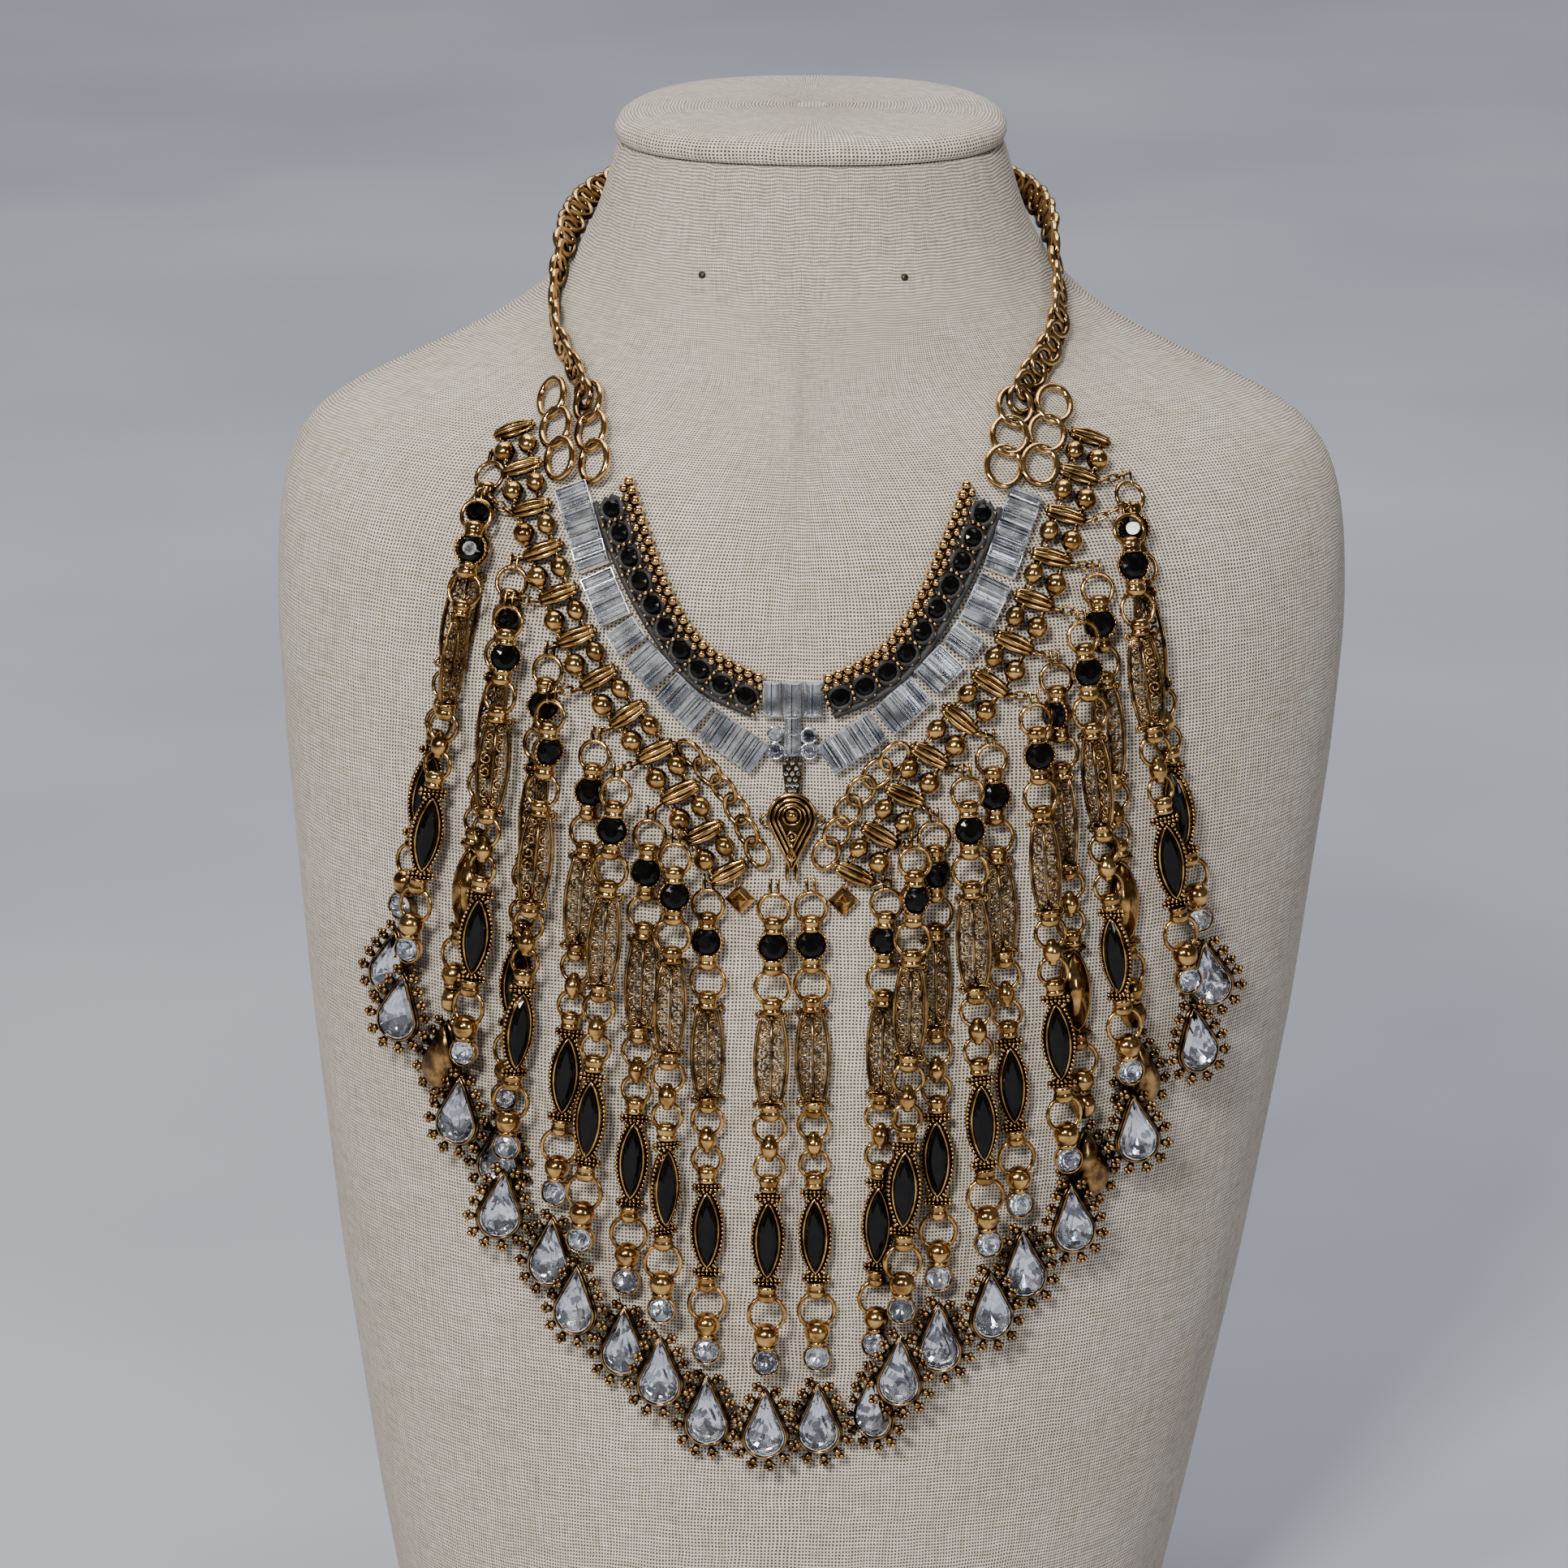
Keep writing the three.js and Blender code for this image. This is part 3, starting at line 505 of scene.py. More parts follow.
class Route:
    """A line in space with a length, and a frame anywhere along it: across, back up, out."""

    def __init__(self, points, outward):
        self.points = np.array(points, float)
        steps = np.linalg.norm(np.diff(self.points, axis=0), axis=1)
        self.distance = np.concatenate(([0], np.cumsum(steps)))
        self.length = float(self.distance[-1])
        self.outward = outward

    def on_line(self, s):
        return np.array([np.interp(s, self.distance, self.points[:, axis]) for axis in range(3)])

    def at(self, s):
        """The point s millimetres along, carried straight on past the ends."""
        point = self.on_line(s)
        if s < 0:
            point += self.along(0) * s
        if s > self.length:
            point += self.along(self.length) * (s - self.length)
        return point

    def along(self, s):
        direction = self.on_line(min(s + 1.5, self.length)) - self.on_line(max(s - 1.5, 0))
        return direction / np.linalg.norm(direction)

    def frame(self, s):
        origin = self.at(s)
        up = -self.along(s)
        out = self.outward(origin)
        across = np.cross(up, out)
        across /= np.linalg.norm(across)
        out = np.cross(across, up)
        matrix = np.eye(4)
        matrix[:3, 0] = across
        matrix[:3, 1] = up
        matrix[:3, 2] = out
        matrix[:3, 3] = origin
        return matrix


def front_outward(point):
    return front_normal(point[0], point[2])


def neck_outward(point):
    """Level round the neck, turning to lie on the slope of the shoulder in front."""
    level = np.array((point[0], point[1] - AXIS_Y, 0))
    level /= np.linalg.norm(level)
    if point[1] > AXIS_Y:
        return level
    share = min(max((301 - point[2]) / 14, 0), 1)
    out = level * (1 - share) + front_normal(point[0], point[2]) * share
    return out / np.linalg.norm(out)


def front_frame(x, z, lift, reach):
    """The frame at one place on the front, level across, measured over reach each way."""
    route = Route([on_front(x, z + reach, lift), on_front(x, z - reach, lift)], front_outward)
    return route.frame(reach)


def box_middle(node):
    """The middle of a CAD node's box, in millimetres."""
    low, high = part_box(node)
    return (np.array(low) + np.array(high)) / 2 / MM


def front_route(places, side, lift):
    flat = spline([(side * abs(x), z) for x, z in places])
    return Route([on_front(x, z, lift) for x, z in flat], front_outward)


# ---------------------------------------------------------------- shapes, as (points, faces)

def turned(axis, degrees):
    return np.array(Matrix.Rotation(math.radians(degrees), 4, axis))


def moved(x=0.0, y=0.0, z=0.0):
    matrix = np.eye(4)
    matrix[:3, 3] = (x, y, z)
    return matrix


def sized(x, y, z):
    return np.diag((x, y, z, 1.0))


def transformed(shape, matrix):
    points, faces = shape
    return points @ matrix[:3, :3].T + matrix[:3, 3], faces


def unit(rows):
    """Each row scaled to a length of one."""
    return rows / np.maximum(np.linalg.norm(rows, axis=1, keepdims=True), 1e-9)


def bands(rows, count, closed=False):
    """Four-sided faces between each ring of points and the next."""
    faces = []
    for row in range(rows if closed else rows - 1):
        low = row * count
        high = (row + 1) % rows * count
        for step in range(count):
            beside = (step + 1) % count
            faces.append((low + step, low + beside, high + beside, high + step))
    return faces


def caps(rows, count):
    """The two faces that close the first and the last ring."""
    return [tuple(range(count))[::-1], tuple(range((rows - 1) * count, rows * count))]


def carried(matrix, x, y, z):
    """A single point placed by a matrix."""
    return (matrix @ np.array((x, y, z, 1)))[:3]


def tube(line, radius, sides=6, closed=False, normal=(0, 0, 1)):
    """A wire along a line; radius is one number or one for each point."""
    line = np.array(line, float)
    count = len(line)
    radii = np.full(count, radius) if np.isscalar(radius) else np.array(radius, float)
    if closed:
        tangents = np.roll(line, -1, axis=0) - np.roll(line, 1, axis=0)
    else:
        tangents = np.gradient(line, axis=0)
    tangents = unit(tangents)
    side_a = unit(np.cross(tangents, np.array(normal, float)))
    side_b = np.cross(side_a, tangents)
    points = []
    for step in range(sides):
        angle = 2 * math.pi * step / sides
        offset = side_a * math.cos(angle) + side_b * math.sin(angle)
        points.append(line + offset * radii[:, None])
    points = np.stack(points, axis=1).reshape(-1, 3)
    faces = bands(count, sides, closed)
    if not closed:
        faces += caps(count, sides)
    return points, faces


def lathe(profile, segments=12):
    """A solid turned about Z from (radius, z) pairs; a radius of 0 closes it with a point."""
    points = []
    starts = []
    for radius, height in profile:
        starts.append(len(points))
        if radius < 1e-6:
            points.append((0, 0, height))
            continue
        for step in range(segments):
            angle = 2 * math.pi * step / segments
            points.append((radius * math.cos(angle), radius * math.sin(angle), height))
    faces = []
    for row in range(len(profile) - 1):
        low, high = starts[row], starts[row + 1]
        low_point = profile[row][0] < 1e-6
        high_point = profile[row + 1][0] < 1e-6
        for step in range(segments):
            beside = (step + 1) % segments
            if low_point:
                faces.append((low, high + beside, high + step))
            elif high_point:
                faces.append((low + step, low + beside, high))
            else:
                faces.append((low + step, low + beside, high + beside, high + step))
    return np.array(points, float), faces


def ball(radius, segments=8, rings=6):
    profile = [
        (radius * math.sin(math.pi * step / rings), -radius * math.cos(math.pi * step / rings))
        for step in range(rings + 1)
    ]
    return lathe(profile, segments)


def ball_at(x, y, z, radius, segments=8, rings=6):
    return transformed(ball(radius, segments, rings), moved(x, y, z))


def prism(outline, low, high, low_share=1.0, high_share=1.0):
    """A closed slab between two level copies of an outline, each scaled about the middle."""
    outline = np.array(outline, float)
    count = len(outline)
    bottom = np.column_stack((outline * low_share, np.full(count, low)))
    top = np.column_stack((outline * high_share, np.full(count, high)))
    return np.vstack((bottom, top)), bands(2, count) + caps(2, count)


def layered(rings):
    """A closed solid through outlines of equal length given as (outline, z), with triangle facets."""
    count = len(rings[0][0])
    points = np.vstack([np.column_stack((np.array(ring, float), np.full(count, z))) for ring, z in rings])
    first, last = caps(len(rings), count)
    faces = [first]
    for row in range(len(rings) - 1):
        low = row * count
        high = low + count
        for i in range(count):
            j = (i + 1) % count
            if row % 2 == 0:
                faces.append((low + i, low + j, high + j))
                faces.append((low + i, high + j, high + i))
            else:
                faces.append((low + i, low + j, high + i))
                faces.append((low + j, high + j, high + i))
    faces.append(last)
    return points, faces


def circle(radius, count=16, start=0.0):
    return [
        (radius * math.cos(start + 2 * math.pi * step / count),
         radius * math.sin(start + 2 * math.pi * step / count))
        for step in range(count)
    ]


def lens_outline(half_width, half_length, count=24):
    """A pointed oval made of two arcs."""
    radius = (half_width ** 2 + half_length ** 2) / (2 * half_width)
    reach = math.asin(half_length / radius)
    points = []
    for side in (1, -1):
        for step in range(count // 2):
            angle = -reach + 2 * reach * step / (count // 2)
            x = radius * math.cos(angle) - (radius - half_width)
            points.append((side * x, side * radius * math.sin(angle)))
    return points


def pear_outline(radius, length, count=24):
    """A drop: a round bottom and straight flanks to a point at the top, about its middle."""
    centre = -length / 2 + radius
    height = length / 2 - centre
    lean = math.asin(radius / height)
    points = []
    flank = 4
    turns = count - 2 * flank
    for step in range(turns + 1):
        angle = lean - (math.pi + 2 * lean) * step / turns
        points.append((radius * math.cos(angle), centre + radius * math.sin(angle)))
    tip = (0.0, length / 2)
    rise = np.linspace(points[-1], tip, flank + 1)[1:]
    fall = np.linspace(tip, points[0], flank + 1)[1:-1]
    return np.vstack((points, rise, fall))[::-1]


def offset_outline(outline, distance):
    """The outline pushed out along its own normals."""
    points = np.array(outline, float)
    edge = np.roll(points, -1, axis=0) - np.roll(points, 1, axis=0)
    return points + unit(np.column_stack((edge[:, 1], -edge[:, 0]))) * distance


def evenly(outline, count):
    """Points spaced evenly round a closed outline, each with its outward direction."""
    points = np.array(outline, float)
    ring = np.vstack((points, points[:1]))
    steps = np.linalg.norm(np.diff(ring, axis=0), axis=1)
    distance = np.concatenate(([0], np.cumsum(steps)))
    places = np.arange(count) * distance[-1] / count
    found = np.column_stack([np.interp(places, distance, ring[:, axis]) for axis in (0, 1)])
    ahead = np.column_stack([
        np.interp((places + 0.2) % distance[-1], distance, ring[:, axis]) for axis in (0, 1)
    ])
    direction = unit(ahead - found)
    return found, np.column_stack((direction[:, 1], -direction[:, 0]))


def lifted(outline, z):
    outline = np.array(outline, float)
    return np.column_stack((outline, np.full(len(outline), z)))


def rim(outline, distance, height, wire, sides=6):
    """A closed wire round an outline, pushed out by a distance."""
    return tube(lifted(offset_outline(outline, distance), height), wire, sides, closed=True)


def oval_ring(half_width, half_length, wire, steps=22, sides=7, twist=0.0):
    """A closed wire link; twist lifts its two sides to opposite faces, as in a curb chain."""
    line = []
    for step in range(steps):
        angle = 2 * math.pi * step / steps
        line.append((
            half_width * math.cos(angle), half_length * math.sin(angle), twist * math.cos(angle),
        ))
    return tube(line, wire, sides, closed=True)


# ---------------------------------------------------------------- collecting shapes into pieces

def linked(name, mesh, kind):
    """The filled mesh as an object of the scene."""
    mesh.materials.append(MATERIALS[kind])
    mesh.update()
    made = bpy.data.objects.new(name, mesh)
    bpy.context.collection.objects.link(made)
    return made


class Piece:
    """One named object, filled with placed shapes of one material."""

    def __init__(self, name):
        self.name = name
        self.points = []
        self.faces = []
        self.smooth = []
        self.count = 0

    def add(self, shape, matrix, smooth=True):
        points, faces = transformed(shape, matrix)
        self.points.append(points)
        start = self.count
        self.faces.extend([tuple(start + corner for corner in face) for face in faces])
        self.smooth.extend([smooth] * len(faces))
        self.count += len(points)

    def finish(self, kind, replaces=None):
        mesh = bpy.data.meshes.new(self.name)
        mesh.from_pydata(np.vstack(self.points) * MM, [], self.faces)
        mesh.polygons.foreach_set("use_smooth", self.smooth)
        made = linked(self.name, mesh, kind)
        mesh.validate()
        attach(made, "root")
        if replaces:
            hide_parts(replaces)


# ---------------------------------------------------------------- bust

def cloth_mesh(name, rings):
    """A closed smooth skin through rings of points, with UVs in millimetres round and up it."""
    rings = np.array(rings)
    rows, columns = rings.shape[:2]
    points = rings.reshape(-1, 3)
    uvs = []
    widths = np.linalg.norm(np.roll(rings, -1, axis=1) - rings, axis=2)
    around = np.concatenate(([0], np.cumsum(widths[rows // 2])))
    up = np.concatenate(([0], np.cumsum(np.linalg.norm(np.diff(rings, axis=0), axis=2).max(axis=1))))
    for row in range(rows - 1):
        for column in range(columns):
            left, right = around[column], around[column + 1]
            uvs.extend(((left, up[row]), (right, up[row]), (right, up[row + 1]), (left, up[row + 1])))
    for end in caps(rows, columns):
        uvs.extend([(points[corner][0], points[corner][1]) for corner in end])
    faces = bands(rows, columns) + caps(rows, columns)
    mesh = bpy.data.meshes.new(name)
    mesh.from_pydata(points * MM, [], faces)
    layer = mesh.uv_layers.new(name="cloth")
    layer.data.foreach_set("uv", np.array(uvs, float).reshape(-1))
    mesh.polygons.foreach_set("use_smooth", [len(face) == 4 for face in faces])
    made = linked(name, mesh, "linen")
    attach(made, "root")
    return made


def ring_round(z, height, share=1.0, columns=144):
    """One level ring of the skin, run anticlockwise seen from above."""
    middle = np.array((section(z)["lean"], AXIS_Y, height))
    ring = []
    for column in range(columns):
        point = round_bust(z, -360 * column / columns, -1, 0)
        point[2] = height
        ring.append(middle + (point - middle) * share)
    return ring


def add_bust():
    edge = 2.0
    rings = [ring_round(0, 0, 0.972), ring_round(0, 0, 0.985), ring_round(edge, edge * 0.4, 0.996)]
    rings += [ring_round(z, z) for z in np.arange(edge, SEAM_Z, 3.0)]
    rings += [ring_round(SEAM_Z, SEAM_Z - 0.8, 1.0), ring_round(SEAM_Z, SEAM_Z, 0.985)]
    bust = cloth_mesh("linen_bust", rings)
    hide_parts("bust")


def add_cap():
    """The padded lid of the neck: a tight seam, a rounded rim and a low dome."""
    profile = (
        (0.3, 0.955), (0.35, 0.985), (1.0, 1.004), (2.0, 1.014), (3.0, 1.012), (4.0, 0.998),
        (4.8, 0.97), (5.4, 0.93), (5.8, 0.87), (6.1, 0.78), (6.35, 0.64), (6.55, 0.46),
        (6.7, 0.26), (6.75, 0.08),
    )
    rings = [ring_round(SEAM_Z, SEAM_Z + rise, share) for rise, share in profile]
    cap = cloth_mesh("linen_cap", rings)
    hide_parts("bust_cap")


def add_pins():
    pins = Piece("neck_pins")
    for side in (-1, 1):
        matrix = front_frame(side * PINS["x"], PINS["z"], 0.25, 1.0)
        pins.add(ball(PINS["radius"], 12, 8), matrix @ sized(1, 1, 0.6))
    pins.finish("pin")


# ---------------------------------------------------------------- strand pieces

def saddle_shape():
    """A short barrel with a domed side that a ring hangs under, along Y, dome up."""
    profile = ((0, -1.6), (1.65, -1.6), (1.95, -1.4), (1.95, -0.8), (1.7, -0.6), (1.95, -0.1), (2.1, 0.5),
               (1.9, 1.15), (1.4, 1.6), (0.75, 1.85), (0, 1.95))
    return transformed(lathe(profile, 12), turned("X", -90) @ sized(1, 0.82, 1))


def knuckle_shape():
    """A long bead between two rings, with a narrow lip at each end."""
    profile = ((0, -2.7), (0.7, -2.6), (0.95, -2.2), (1.1, -1.7), (1.75, -1.1), (1.9, 0), (1.75, 1.1),
               (1.1, 1.7), (0.95, 2.2), (0.7, 2.6), (0, 2.7))
    return transformed(lathe(profile, 12), turned("X", -90))


def add_round_stone(metal, stone, place):
    """A black stone in a milled cup."""
    cup = ((0, -1.3), (2.7, -1.3), (2.95, -1.0), (3.05, 0.2), (3.2, 0.75), (2.85, 0.95), (2.7, 0.6), (0, 0.4))
    metal.add(lathe(cup, 24), place)
    for x, y in circle(3.05, 24):
        metal.add(ball(0.34, 6, 4), place @ moved(x, y, 0.85))
    cut = layered((
        (circle(2.72, 16), 0.5), (circle(2.66, 16), 0.8), (circle(2.2, 16, 0.2), 1.5),
        (circle(1.35, 16), 1.9),
    ))
    stone.add(cut, place, smooth=False)


def spiral(radius, turns, start, hand):
    """A scroll of wire, from its outer end in."""
    line = []
    steps = 18
    for step in range(steps + 1):
        share = step / steps
        angle = start + hand * turns * 2 * math.pi * share
        reach = radius * (1 - 0.75 * share)
        line.append((reach * math.cos(angle), reach * math.sin(angle), 0.12 * share))
    return line


def plate_outline(half_width, half_length, end_share):
    """A barrel: arched sides between two flat ends."""
    points = []
    for side in (1, -1):
        for step in range(13):
            share = -1 + 2 * step / 12
            x = half_width * (end_share + (1 - end_share) * math.cos(share * math.pi / 2) ** 0.8)
            points.append((side * x, side * share * half_length))
    return points


def plate_shapes():
    """The filigree plate: an outline, a middle rib, paired scrolls and curls at its corners."""
    wire = 0.25
    shapes = [tube(lifted(plate_outline(3.2, 8.6, 0.62), 0), 0.33, 6, closed=True)]
    shapes.append(tube(lifted(plate_outline(2.75, 8.2, 0.62), 0.05), 0.2, 5, closed=True))
    shapes.append(tube([(0, -8.4, 0.1), (0, -3, 0.2), (0, 3, 0.2), (0, 8.4, 0.1)], 0.3, 5))
    half_rows = ((1.3, 1.3), (3.7, 1.15), (5.6, 0.98), (7.3, 0.75))
    rows = [(way * y, radius) for way in (-1, 1) for y, radius in half_rows]
    for side in (-1, 1):
        for number, (y, radius) in enumerate(rows):
            hand = side if number % 2 else -side
            line = np.array(spiral(radius, 1.35, math.pi / 2 * hand, hand))
            line[:, 0] += side * (radius + 0.2)
            line[:, 1] += y
            line[:, 2] += 0.12
            shapes.append(tube(line, wire, 5))
        for end in (-1, 1):
            line = np.array(spiral(0.9, 1.3, -end * math.pi / 2, side * end))
            line[:, 0] += side * 2.35
            line[:, 1] += end * 9.0
            shapes.append(tube(line, 0.3, 5))
    for end in (-1, 1):
        shapes.append(tube([(-2.3, end * 8.9, 0), (0, end * 9.2, 0.1), (2.3, end * 8.9, 0)], 0.42, 6))
        shapes.append(ball_at(0, end * 8.3, 0.2, 0.6))
    return shapes


def navette_shapes():
    """The metal of the marquise setting: cup, smooth rim, beaded border and grained ends."""
    stone = lens_outline(NAVETTE["half_width"], NAVETTE["half_length"], 32)
    shapes = [prism(offset_outline(stone, 0.55), -1.2, 0.55, 0.96, 1.0)]
    shapes.append(rim(stone, 0.2, 0.75, 0.27))
    border, _ = evenly(offset_outline(stone, 1.0), 42)
    for x, y in border:
        shapes.append(ball_at(x, y, 0.35, 0.42, 7, 5))
    shapes.append(rim(stone, 0.8, -0.35, 0.4))
    for end in (-1, 1):
        for x in (-2.4, -1.6, -0.8, 0, 0.8, 1.6, 2.4):
            for y in (8.15, 8.95):
                size, height = (0.5, 0.15) if abs(x) > 2 else (0.45, 0.25)
                shapes.append(ball_at(x, end * y, height, size, 6, 4))
        for side in (-1, 1):
            shapes.append(ball_at(side * 1.6, end * 7.35, 0.2, 0.48, 6, 4))
        bar = prism(lens_outline(1.1, 2.9, 12), -0.5, 0.2)
        shapes.append(transformed(bar, moved(0, end * 8.5, 0) @ turned("Z", 90)))
    return shapes


def navette_stone():
    outline = np.array(lens_outline(NAVETTE["half_width"], NAVETTE["half_length"], 16))
    return layered((
        (outline, 0.3), (outline, 0.85), (outline * (0.8, 0.86), 1.35), (outline * (0.5, 0.68), 1.6),
    ))


def bobble_shapes():
    """One beaded knob of the drop's border: a grape of small balls standing out along +Y."""
    grains = ((0, 0.8, 0.8), (0, 2.05, 0.6), (-0.72, 1.5, 0.5), (0.72, 1.5, 0.5))
    return [ball_at(x, y, 0, radius) for x, y, radius in grains]


def drop_shapes():
    """The metal of the crystal drop: rim, back and beaded knobs all round."""
    stone = pear_outline(PEAR["radius"], PEAR["length"], 32)
    shapes = [prism(offset_outline(stone, 0.3), -1.9, -1.45, 0.9, 0.95)]
    shapes.append(rim(stone, 0.2, 0.55, 0.3))
    shapes.append(rim(stone, 0.42, -0.3, 0.5))
    places, normals = evenly(offset_outline(stone, 0.75), DROP_KNOBS)
    knob = bobble_shapes()
    for (x, y), (out_x, out_y) in zip(places, normals):
        spin = math.degrees(math.atan2(out_y, out_x)) - 90
        for shape in knob:
            shapes.append(transformed(shape, moved(x, y, -0.1) @ turned("Z", spin)))
    return shapes


def pear_crown():
    outline = np.array(pear_outline(PEAR["radius"], PEAR["length"], 16))
    return layered((
        (outline * 0.95, 0.52), (outline * 0.95, 0.75), (outline * 0.8 - (0, 0.25), 1.7),
        (outline * 0.48 - (0, 0.6), 2.3),
    ))


def pear_foil():
    """The mirrored back of the pear: a closed shell whose inside is a faceted bowl."""
    outline = np.array(pear_outline(PEAR["radius"], PEAR["length"], 16))
    return layered((
        (outline * 0.9, -1.4), (outline, 0.5), (outline * 0.95, 0.5), (outline * 0.7 - (0, 0.5), -0.35),
        (outline * 0.34 - (0, 1.4), -0.75), (outline * 0.05 - (0, 2.0), -1.2),
    ))


def chaton_crown(radius):
    return layered((
        (circle(radius * 0.95, 12), 0.52), (circle(radius * 0.95, 12), 0.7),
        (circle(radius * 0.84, 12, 0.26), 1.25), (circle(radius * 0.5, 12), 1.6),
    ))


def chaton_foil(radius):
    return layered((
        (circle(radius * 0.85, 10), -1.3), (circle(radius, 10), 0.5), (circle(radius * 0.96, 10), 0.5),
        (circle(radius * 0.6, 10, 0.31), -0.3), (circle(radius * 0.08, 10), -1.1),
    ))


def chaton_cup(radius):
    profile = ((0, -1.7), (radius * 0.9, -1.7), (radius + 0.3, -1.1), (radius + 0.42, 0.5),
               (radius + 0.28, 0.85), (radius, 0.75), (radius, -0.6), (radius * 0.8, -1.4), (0, -1.45))
    return lathe(profile, 20)


SHAPES = {
    "saddle": saddle_shape(),
    "knuckle": knuckle_shape(),
    "plate": plate_shapes(),
    "navette": navette_shapes(),
    "drop": drop_shapes(),
}


def strand_ends(node):
    """Where a strand starts and stops, seen from the front: the ends of its CAD solid."""
    points = np.array([vertex.co for vertex in bpy.data.objects[node].data.vertices]) / MM
    points = np.unique(points.round(2), axis=0)
    order = np.argsort(points[:, 2])
    top = points[order[-4:]].mean(axis=0)
    bottom = points[order[:4]].mean(axis=0)
    return (top[0], top[2]), (bottom[0], bottom[2])


def add_strand(node, lift):
    """One fringe strand, piece by piece down its thread."""
    top, bottom = strand_ends(node)
    flat = np.linspace(top, bottom, 60)
    route = Route([on_front(x, z, lift) for x, z in flat], front_outward)
    scale = route.length / (STRAND_SPAN[1] - STRAND_SPAN[0])
    turns = dict(zip(TURN_COLUMNS, TURNS.get(node, [random.uniform(-7, 7) for _ in TURN_COLUMNS])))

    def place(s, turn=0.0, proud=0.0):
        return route.frame((s - STRAND_SPAN[0]) * scale) @ turned("Y", turn) @ moved(0, 0, proud)

    metal = Piece(f"{node}_metal")
    black = Piece(f"{node}_black")
    glass = Piece(f"{node}_glass")
    foil = Piece(f"{node}_foil")
    for s, radius in RINGS:
        tilt = random.uniform(-9, 9)
        metal.add(oval_ring(radius, radius, RING_WIRE, 24, 6), place(s, tilt))
    for s, way in SADDLES:
        spin = turned("Z", 0 if way < 0 else 180)
        metal.add(SHAPES["saddle"], place(s, turns["round"] * 0.3, 0.2) @ spin)
    metal.add(SHAPES["knuckle"], place(KNUCKLE_AT, 0, 0.1))
    metal.add(ball(2.55, 16, 12), place(BALL_AT, 0, 0.35))
    metal.add(lathe(((0, -0.5), (1.9, -0.5), (2.0, 0), (1.9, 0.5), (0, 0.5)), 14),
              place(BALL_AT + 2.3, 0, 0.1) @ turned("X", 90))
    for x in (-0.75, 0.75):
        metal.add(oval_ring(0.35, 1.7, 0.24, 14, 5), place(1.6) @ moved(x, 0, 0) @ turned("Y", 70))
    add_round_stone(metal, black, place(ROUND_AT, turns["round"], 0.2))
    plate = Piece(f"{node}_filigree_and_drop")
    for shape in SHAPES["plate"]:
        plate.add(shape, place(PLATE_AT, turns["plate"]))
    for shape in SHAPES["navette"]:
        metal.add(shape, place(NAVETTE_AT, turns["navette"]))
    black.add(navette_stone(), place(NAVETTE_AT, turns["navette"]), smooth=False)
    chaton = place(CHATON_AT, turns["drop"] * 0.6, 0.2)
    metal.add(chaton_cup(CHATON_RADIUS), chaton)
    glass.add(chaton_crown(CHATON_RADIUS - 0.03), chaton, smooth=False)
    foil.add(chaton_foil(CHATON_RADIUS - 0.03), chaton, smooth=False)
    drop = place(DROP_AT, turns["drop"], 0.1)
    for shape in SHAPES["drop"]:
        plate.add(shape, drop)
    # The filigree plate and the drop's metal take the darker copy of the gold, which is painted shade.
    plate.finish("plate")
    glass.add(pear_crown(), drop, smooth=False)
    foil.add(pear_foil(), drop, smooth=False)
    metal.finish("antique", node)
    black.finish("black")
    glass.finish("glass")
    foil.finish("foil")


# ---------------------------------------------------------------- collar pieces

def add_chain(name, route, link, side, kind, node):
    """Interlocked wire links down a route, each leaning the same way, as in a curb chain."""
    wire = link["wire"]
    pitch = 2 * link["half_length"] * (1 - link["overlap"])
    count = max(1, round((route.length - 2 * wire) / pitch))
    pitch = route.length / count
    chain = Piece(name)
    shape = oval_ring(link["half_width"], link["half_length"], wire, 24, 8, twist=wire * 0.9)
    for number in range(count):
        tilt = link["lean"] * side * (1 if number % 2 == 0 else 0.7)
        chain.add(shape, route.frame((number + 0.5) * pitch) @ turned("Y", tilt))
    chain.finish(kind, node)


def neck_route(side):
    rows = spline(NECK_ROUTE)
    return Route([round_bust(z, angle, side, NECK_LIFT) for angle, z in rows], neck_outward)


def add_clasp():
    middle = moved(*box_middle("clasp"))
    clasp = Piece("clasp_barrel")
    profile = ((0, -3.6), (0.8, -3.6), (1.3, -3.2), (1.7, -2.6), (1.7, -0.4), (1.85, -0.2), (1.85, 0.2),
               (1.7, 0.4), (1.7, 2.6), (1.3, 3.2), (0.8, 3.6), (0, 3.6))
    clasp.add(lathe(profile, 20), middle @ turned("Y", 90))
    for side in (-1, 1):
        clasp.add(oval_ring(1.5, 1.5, 0.4, 18, 6), middle @ moved(side * 4.4, 0, 0) @ turned("X", 60))
    clasp.finish("bright", "clasp")


def add_edge(name, side, node):
    """Two rows of gold balls: larger ones on the neckline and smaller ones between them below."""
    route = front_route(EDGE_ROUTE, side, COLLAR_LIFT)
    pitch = 2.05
    count = int(route.length / pitch)
    edge = Piece(name)
    for number in range(count + 1):
        s = number * route.length / count
        edge.add(ball(1.12, 10, 8), route.frame(s) @ moved(side * -0.7, 0, 0.2))
        edge.add(ball(0.95, 10, 8), route.frame(s + pitch / 2) @ moved(side * 0.75, 0, 0.3))
    line = [route.at(s) for s in np.linspace(0, route.length, 60)]
    edge.add(tube(line, 0.55, 6, normal=(0, -1, 0)), np.eye(4))
    edge.finish("bright", node)


